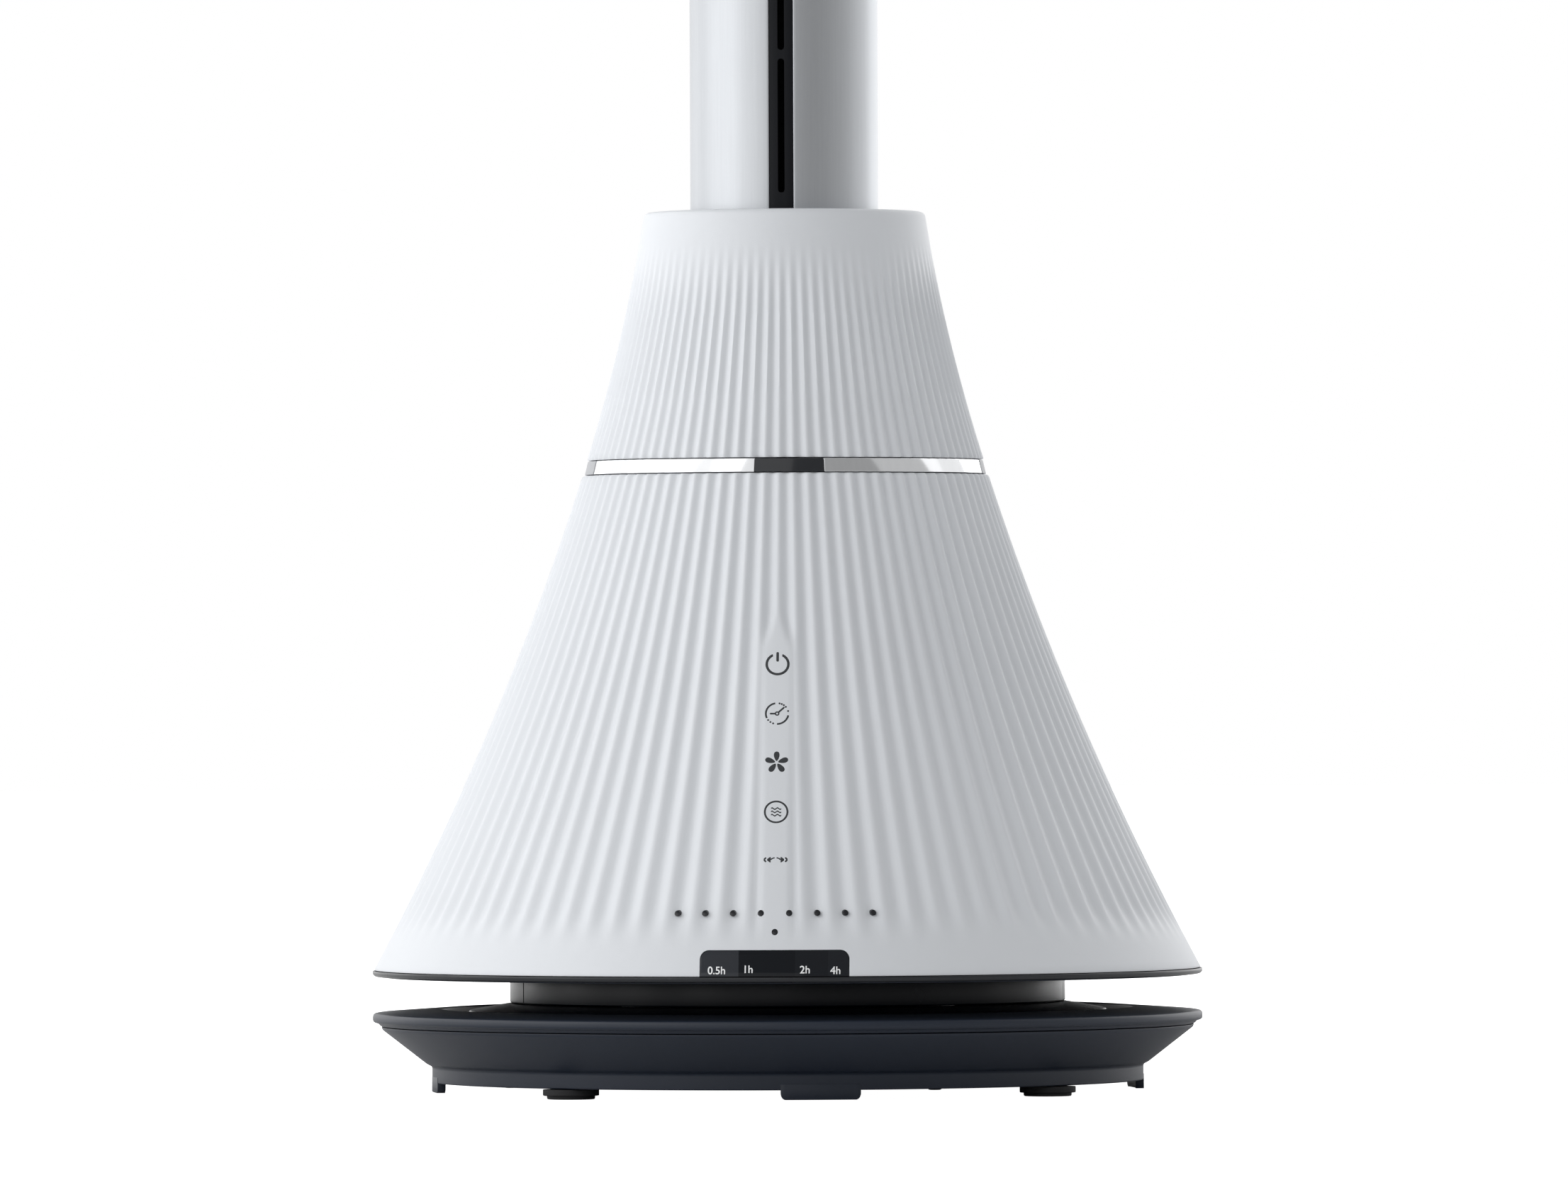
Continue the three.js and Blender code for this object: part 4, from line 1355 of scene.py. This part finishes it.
@dataclass
class Icons:
    """The five touch icons, printed in dark ink on the icon strip."""

    finishes: Finishes
    stroke: float = 0.62
    power_height: float = 154.2
    timer_height: float = 136.7
    speed_height: float = 119.4
    mode_height: float = 102.0
    swing_height: float = 85.2
    ring_radius: float = 4.0
    ring_stroke: float = 0.68
    blade_reach: float = 1.85
    blade_breadth: float = 1.28
    film: float = 0.05

    def build(self) -> None:
        """Makes the five icons."""
        self.printed("icon_power", self.power(), self.power_height)
        self.printed("icon_timer", self.timer(), self.timer_height)
        self.printed("icon_speed", self.speed(), self.speed_height)
        self.printed("icon_mode", self.mode(), self.mode_height)
        self.printed("icon_swing", self.swing(), self.swing_height)

    def printed(self, name: str, parts: list[bpy.types.Object], height: float) -> None:
        """Flattens a drawing to a film of ink and lays it on the cone."""
        obj = gather(name, parts)
        place = Printed(0.0, height)

        def flatten(points: np.ndarray) -> np.ndarray:
            """Presses the drawing flat and wraps it."""
            flat = points.copy()
            flat[:, 1] = np.clip(flat[:, 1], -0.3, 0.3) / 0.3 * self.film
            return place.wrap(flat, 0.0)

        reshape(obj, flatten)
        settle(obj, REST_SWING)
        with editing(obj):
            bpy.ops.mesh.normals_make_consistent(inside=False)
        smooth(obj, 60)
        self.finishes.dress(obj, "ink", Body.FAN)

    def arc(self, radius: float, first: float, last: float, width: float | None = None) -> bpy.types.Object:
        """Part of a ring of ink between two angles in degrees, anticlockwise from the right."""
        clear_selection()
        half = (width or self.stroke) / 2
        bpy.ops.mesh.primitive_torus_add(
            major_radius=radius * MM, minor_radius=half * MM, major_segments=72, minor_segments=8,
            rotation=(math.pi / 2, 0, 0),
        )
        obj = settle(bpy.context.object)
        if last - first < 360:
            choose(obj, "vertices", lambda v: not first <= math.degrees(math.atan2(v.co.z, v.co.x)) % 360 <= last)
            with kept_selection(obj):
                bpy.ops.mesh.delete(type="VERT")
            with editing(obj):
                bpy.ops.mesh.fill_holes(sides=0)
        return obj

    def bar(self, start: Point, end: Point, width: float | None = None) -> bpy.types.Object:
        """A straight stroke of ink with round ends between two points."""
        clear_selection()
        first, last = Vector((start[0], 0, start[1])), Vector((end[0], 0, end[1]))
        half = (width or self.stroke) / 2
        turn = (last - first).to_track_quat("Z", "Y").to_euler()
        bpy.ops.mesh.primitive_cylinder_add(
            vertices=12, radius=half * MM, depth=(last - first).length * MM,
            location=(first + last) / 2 * MM, rotation=turn,
        )
        obj = settle(bpy.context.object)
        soften(obj, half * 0.8, 2, 60)
        return obj

    def spot(self, place: Point, radius: float, stretch: tuple[float, float] = (1.0, 1.0)) -> bpy.types.Object:
        """A round or stretched spot of ink."""
        clear_selection()
        bpy.ops.mesh.primitive_uv_sphere_add(segments=20, ring_count=10, radius=radius * MM)
        obj = bpy.context.object
        obj.scale = (stretch[0], 1, stretch[1])
        settle(obj)
        obj.location = (place[0] * MM, 0, place[1] * MM)
        return settle(obj)

    def power(self) -> list[bpy.types.Object]:
        """A broken ring with an upright bar in the gap."""
        return [self.broken_ring(), self.bar((0, 1.0), (0, 4.7), 0.95)]

    def broken_ring(self) -> bpy.types.Object:
        """The power icon's ring, open at the top."""
        obj = self.arc(3.85, 0, 360, 0.92)
        choose(obj, "vertices", lambda v: v.co.z > 0 and abs(v.co.x) < 1.55 * MM)
        with kept_selection(obj):
            bpy.ops.mesh.delete(type="VERT")
        with editing(obj):
            bpy.ops.mesh.fill_holes(sides=0)
        return obj

    def timer(self) -> list[bpy.types.Object]:
        """A clock with a dotted rim and two hands."""
        ring, stroke = self.ring_radius, self.ring_stroke
        parts = [self.arc(ring, 95, 205, stroke), self.arc(ring, 270, 352, stroke), self.arc(0.6, 0, 360, 0.5)]
        parts += [self.bar((-0.5, 0), (-2.6, 0), 0.66), self.bar((0.36, 0.36), (2.6, 2.5), 0.66)]
        for angle in (14, 40, 54, 66, 78, 218, 234, 250):
            turn = math.radians(angle)
            parts.append(self.spot((ring * math.cos(turn), ring * math.sin(turn)), 0.36))
        return parts

    def speed(self) -> list[bpy.types.Object]:
        """Five rounded blades round an open centre."""
        blades = []
        for i in range(5):
            turn = math.radians(90 + 72 * i)
            obj = self.spot((0, 0), 1.0, (self.blade_reach, self.blade_breadth))
            reshape(obj, self.narrow_root)
            obj.rotation_euler = (0, -turn, 0)
            obj.location = (2.4 * math.cos(turn) * MM, 0, 2.4 * math.sin(turn) * MM)
            blades.append(settle(obj))
        return blades

    def narrow_root(self, points: np.ndarray) -> np.ndarray:
        """Narrows a blade towards its root."""
        shaped = points.copy()
        shaped[:, 2] *= 0.76 + 0.28 * points[:, 0] / self.blade_reach
        return shaped

    def mode(self) -> list[bpy.types.Object]:
        """Three waves in a ring."""
        parts = [self.arc(self.ring_radius, 0, 360, self.ring_stroke)]
        for level in (-1.25, 0.0, 1.25):
            clear_selection()
            bpy.ops.mesh.primitive_cylinder_add(
                vertices=10, radius=0.27 * MM, depth=3.6 * MM,
                location=(0, 0, level * MM), rotation=(0, math.pi / 2, 0),
            )
            wave = settle(bpy.context.object)
            for cut in range(-6, 7):
                with editing(wave):
                    bpy.ops.mesh.bisect(plane_co=(cut * 0.27 * MM, 0, 0), plane_no=(1, 0, 0))
            reshape(wave, lambda p: p + np.column_stack((0 * p[:, 0], 0 * p[:, 0], 0.3 * np.sin(p[:, 0] * 3.3))))
            parts.append(wave)
        return parts

    def swing(self) -> list[bpy.types.Object]:
        """Two curved arrows pointing apart, each with a chevron at its tip."""
        parts = []
        for side in (-1, 1):
            parts.append(self.bar((side * 0.3, 0.75), (side * 1.0, 0.6), 0.5))
            parts.append(self.bar((side * 0.95, 0.6), (side * 1.9, 0.0), 0.55))
            for rise in (-0.95, -0.5, 0.0, 0.5, 0.95):
                parts.append(self.bar((side * 1.75, rise), (side * 2.95, 0), 0.5))
            for rise in (-0.85, 0.85):
                parts.append(self.bar((side * 3.35, rise), (side * 4.15, 0), 0.62))
        return parts


# ------------------------------------------------------------------------------ the bright band
@dataclass
class Band:
    """The bright band between the cones, with its infrared window and receiver."""

    finishes: Finishes
    low: float = 222.9
    high: float = 227.9
    inner: float = 68.9
    front_arc: tuple[float, float] = (-73.1, 76.4)
    window_half_angle: float = 10.0

    def build(self) -> None:
        """Makes the front arc, the rear arc and the window."""
        first, last = self.front_arc
        turn = REST_SWING + BAND_TURN
        front = turned("band_bright", self.outline(72.6, 71.4, self.inner), 180, first, last - first)
        pocket = turned("pocket", self.tool_outline(), 24, -self.window_half_angle, 2 * self.window_half_angle)
        combine(front, pocket, Cut.REMOVE)
        soften(front, 0.12, 2, 50)
        self.finishes.dress(self.done(front, turn), "chrome", Body.FAN, "band_front")
        rear = turned("band_grey", self.outline(72.6, 71.4, self.inner), 220, last + 0.8, 360 - (last - first) - 1.6)
        soften(rear, 0.12, 2, 50)
        self.finishes.dress(self.done(rear, turn), "grey", Body.FAN, "band_rear")
        half = self.window_half_angle - 0.15
        window = turned("infrared_window", self.outline(72.55, 71.4, 70.5), 24, -half, 2 * half)
        choose(window, "edges", lambda e: self.is_window_corner(window, e))
        with kept_selection(window):
            bpy.ops.mesh.bevel(offset=1.1 * MM, segments=5, affect="EDGES")
        tidy(window, 0.01)
        self.finishes.dress(self.done(window, turn), "gloss", Body.FAN, "ir_window")
        self.finishes.repaint("ir_receiver", "gloss")

    def outline(self, low_radius: float, high_radius: float, inner: float) -> list[Point]:
        """The band's section, its outside leaning in towards the top."""
        return rounded([
            Corner(inner, self.low + 0.05), Corner(low_radius, self.low + 0.05, 0.25),
            Corner(high_radius, self.high - 0.05, 0.25), Corner(inner, self.high - 0.05),
        ])

    def tool_outline(self) -> list[Point]:
        """Section of the tool that sinks the window's pocket."""
        return [(70.3, self.low - 1), (80, self.low - 1), (80, self.high + 1), (70.3, self.high + 1)]

    def is_window_corner(self, obj: bpy.types.Object, edge: bpy.types.MeshEdge) -> bool:
        """Whether an edge runs through the window's thickness at one of its corners."""
        first, second = (obj.data.vertices[i].co / MM for i in edge.vertices)
        middle = (first + second) / 2
        at_end = abs(math.degrees(math.atan2(middle.x, -middle.y))) > self.window_half_angle - 0.3
        return at_end and abs(first.z - second.z) < 0.02 and abs(first.xy.length - second.xy.length) > 0.5

    @staticmethod
    def done(obj: bpy.types.Object, turn: float) -> bpy.types.Object:
        """Turns a piece to its place and shades it."""
        settle(obj, turn)
        smooth(obj)
        return obj


# ------------------------------------------------------------------------------ the column
@dataclass
class Column:
    """The aluminium column, its black strip of air slots, its collar, seal and top cap."""

    finishes: Finishes
    radius: float = 34.0
    wall: float = 2.2
    low: float = 286.0
    high: float = 1008.0
    strip_width: float = 8.5
    strip_recess: float = 0.6
    slot_width: float = 2.4
    slot_length: float = 48.2
    slot_pitch: float = 51.3
    first_slot: float = 323.9
    slot_count: int = 13

    def build(self) -> None:
        """Makes every piece of the column."""
        self.tube()
        self.strip()
        self.cap()
        self.finishes.repaint("column_collar", "grey")
        self.finishes.repaint("column_seal", "rubber")

    def tube(self) -> None:
        """The extruded tube, open at the front for the strip, with painted shade inside: its inner faces take the
        black strip finish.
        """
        inner = self.radius - self.wall
        half = math.degrees(math.asin((self.strip_width / 2 + 0.15) / self.radius))
        rows = [self.low, self.low + 0.4, 320.0, self.high - 0.4, self.high]
        outline = [(self.radius, z) for z in rows] + [(inner, z) for z in reversed(rows)]
        obj = turned("column", outline, 176, half, 360 - 2 * half)
        soften(obj, 0.35, 3, 60)
        settle(obj, REST_SWING)
        smooth(obj)
        obj.data.materials.append(self.finishes.made["aluminium"])
        obj.data.materials.append(self.finishes.made["strip"])
        # Painted shade: the inner faces get the black strip finish, so the inside of the tube reads dark through the
        # slots.
        for face in obj.data.polygons:
            if face.center.xy.length < (inner + 0.3) * MM:
                face.material_index = 1
        self.finishes.dress(obj, "aluminium", Body.FAN, "column_tube")

    def strip(self) -> None:
        """The black strip with its row of long slots, each with a softened mouth."""
        half, face = self.strip_width / 2, self.radius - self.strip_recess
        obj = block("air_strip", (-half, -face, self.low), (half, -face + 2.4, self.high))
        choose(obj, "edges", lambda e: abs(edge_middle(obj, e).x) > half - 0.1 and edge_middle(obj, e).y < -face + 0.1)
        with kept_selection(obj):
            bpy.ops.mesh.bevel(offset=0.3 * MM, segments=2, affect="EDGES")
        slots = [self.slot(self.first_slot + i * self.slot_pitch, face) for i in range(self.slot_count)]
        combine(obj, gather("slots", slots), Cut.REMOVE)
        settle(obj, REST_SWING)
        smooth(obj)
        self.finishes.dress(obj, "strip", Body.FAN, "slot_strip")

    def slot(self, low: float, face: float) -> bpy.types.Object:
        """The tool for one slot: round ends, and a wider mouth at the strip's face."""
        half = self.slot_width / 2
        tool = block("slot", (-half, -face - 2, low), (half, -face + 4, low + self.slot_length))
        choose(tool, "edges", lambda e: abs(edge_middle(tool, e).y + face - 1) < 0.1)
        with kept_selection(tool):
            bpy.ops.mesh.bevel(offset=half * 0.96 * MM, segments=5, affect="EDGES")
        return tool

    def cap(self) -> None:
        """The moulded cap at the top, with a shallow shadow line above the tube."""
        seat, top, radius = self.high + 0.3, 1020.0, self.radius
        obj = turned("column_cap", rounded([
            Corner(0, seat - 8), Corner(27.5, seat - 8, 0.6), Corner(27.5, seat, 0.3), Corner(radius - 0.6, seat, 0.2),
            Corner(radius - 0.5, seat + 0.8, 0.2), Corner(radius, seat + 0.9, 0.2), Corner(radius, top - 1.4, 3.4),
            Corner(radius - 10, top, 6.0), Corner(0, top),
        ], 6), 128)
        settle(obj, REST_SWING)
        smooth(obj)
        self.finishes.dress(obj, "white", Body.FAN, "top_cap")


# ------------------------------------------------------------------------------ the air mover
@dataclass
class AirMover:
    """The impeller, its motor and the ducts round them, kept as packed with finishes of their own."""

    finishes: Finishes

    def build(self) -> None:
        """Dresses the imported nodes."""
        kept = {
            "grey": ("impeller_shroud", "diffuser", "mounting_ring", "impeller"),
            "steel": ("motor_shaft", "motor_rotor", "bearing_lower", "bearing_upper", "impeller_nut", "motor_bracket"),
            "winding": ("motor_stator",),
            "rubber": ("motor_damper",),
        }
        for key, nodes in kept.items():
            for node in nodes:
                self.finishes.repaint(node, key)


# ------------------------------------------------------------------------------ the studio
@dataclass
class Studio:
    """The camera, the pale floor and the soft lights."""

    azimuth: float = -5.2
    distance: float = 5.154
    eye_height: float = 0.147
    pitch: float = 0.37
    roll: float = -0.24
    side_step: float = -0.0007
    lens: float = 327.1
    floor_size: float = 30.0
    panel_size: tuple[float, float] = (1.8, 3.0)
    panel_distance: float = 2.1
    panel_height: float = 0.75
    panels: tuple[tuple[float, float], ...] = (
        (-150, 15.5), (-115, 14.0), (-80, 21.5), (-50, 13.0), (-20, 9.5), (80, 3.4), (115, 10.2), (150, 24.0),
    )

    def build(self) -> None:
        """Sets the studio up."""
        bpy.context.scene.view_settings.view_transform = "Standard"
        self.camera()
        self.floor()
        self.world()
        for degrees, power in self.panels:
            self.panel(degrees, power)

    def direction(self, degrees: float) -> Vector:
        """The level direction from the fan to an angle beside the camera, to its right if positive."""
        angle = math.radians(self.azimuth + degrees)
        return Vector((math.sin(angle), -math.cos(angle), 0))

    def camera(self) -> None:
        """The camera at its height, distance and angle."""
        data = bpy.data.cameras.new("camera")
        data.lens, data.sensor_width = self.lens, 36.0
        data.clip_start, data.clip_end = 0.1, 100.0
        obj = bpy.data.objects.new("camera", data)
        bpy.context.collection.objects.link(obj)
        back = self.direction(0)
        right = Vector((-back.y, back.x, 0))
        obj.location = back * self.distance + Vector((0, 0, self.eye_height))
        rise = self.distance * math.tan(math.radians(self.pitch))
        target = right * self.side_step + Vector((0, 0, self.eye_height + rise))
        look = (target - obj.location).to_track_quat("-Z", "Y").to_matrix()
        obj.rotation_euler = (look @ Matrix.Rotation(math.radians(self.roll), 3, "Z")).to_euler()
        bpy.context.scene.camera = obj

    def floor(self) -> None:
        """A plain pale floor, bright to the camera and softly lit."""
        clear_selection()
        bpy.ops.mesh.primitive_plane_add(size=self.floor_size, location=(0, 0, -0.0002))
        obj = bpy.context.object
        obj.name = "floor"
        surface = Surface("pale_floor")
        rays = surface.nodes.new("ShaderNodeLightPath")
        surface.shader.inputs["Base Color"].default_value = (0.82, 0.82, 0.82, 1)
        surface.constants(Roughness=0.9, Specular_IOR_Level=0.1)
        surface.shader.inputs["Emission Color"].default_value = (1, 1, 1, 1)
        surface.link(rays.outputs["Is Camera Ray"], surface.shader.inputs["Emission Strength"])
        obj.data.materials.append(surface.material)

    def world(self) -> None:
        """White behind the fan, and a dimmer even light on it."""
        world = bpy.data.worlds.new("studio")
        bpy.context.scene.world = world
        world.use_nodes = True
        nodes, link = world.node_tree.nodes, world.node_tree.links.new
        rays = nodes.new("ShaderNodeLightPath")
        level = nodes.new("ShaderNodeMapRange")
        level.inputs["To Min"].default_value = 0.34
        level.inputs["To Max"].default_value = 1.0
        shade = nodes["Background"]
        shade.inputs["Color"].default_value = (1, 1, 1, 1)
        link(rays.outputs["Is Camera Ray"], level.inputs["Value"])
        link(level.outputs["Result"], shade.inputs["Strength"])

    def panel(self, degrees: float, power: float) -> None:
        """A tall soft panel light beside the fan.

        Args:
            degrees: Its angle from the camera, to the right if positive.
            power: Its power in watts.
        """
        data = bpy.data.lights.new(f"panel_{degrees:+.0f}", "AREA")
        data.shape = "RECTANGLE"
        data.size, data.size_y = self.panel_size
        data.energy = power
        obj = bpy.data.objects.new(data.name, data)
        bpy.context.collection.objects.link(obj)
        obj.location = self.direction(degrees) * self.panel_distance + Vector((0, 0, self.panel_height))
        aim = Vector((0, 0, 0.35)) - obj.location
        obj.rotation_euler = aim.to_track_quat("-Z", "Y").to_euler()
        obj.visible_camera = False


def main() -> None:
    """Builds the studio and every sub-assembly in order."""
    logging.basicConfig(level=logging.INFO, format="%(name)s %(message)s")
    Studio().build()
    finishes = Finishes()
    for assembly in (Base, TurningFloor, Housing, Icons, Band, Column, AirMover):
        assembly(finishes).build()
        LOG.info("%s finished", assembly.__name__)
    clear_selection()


if __name__ == "__main__":
    main()
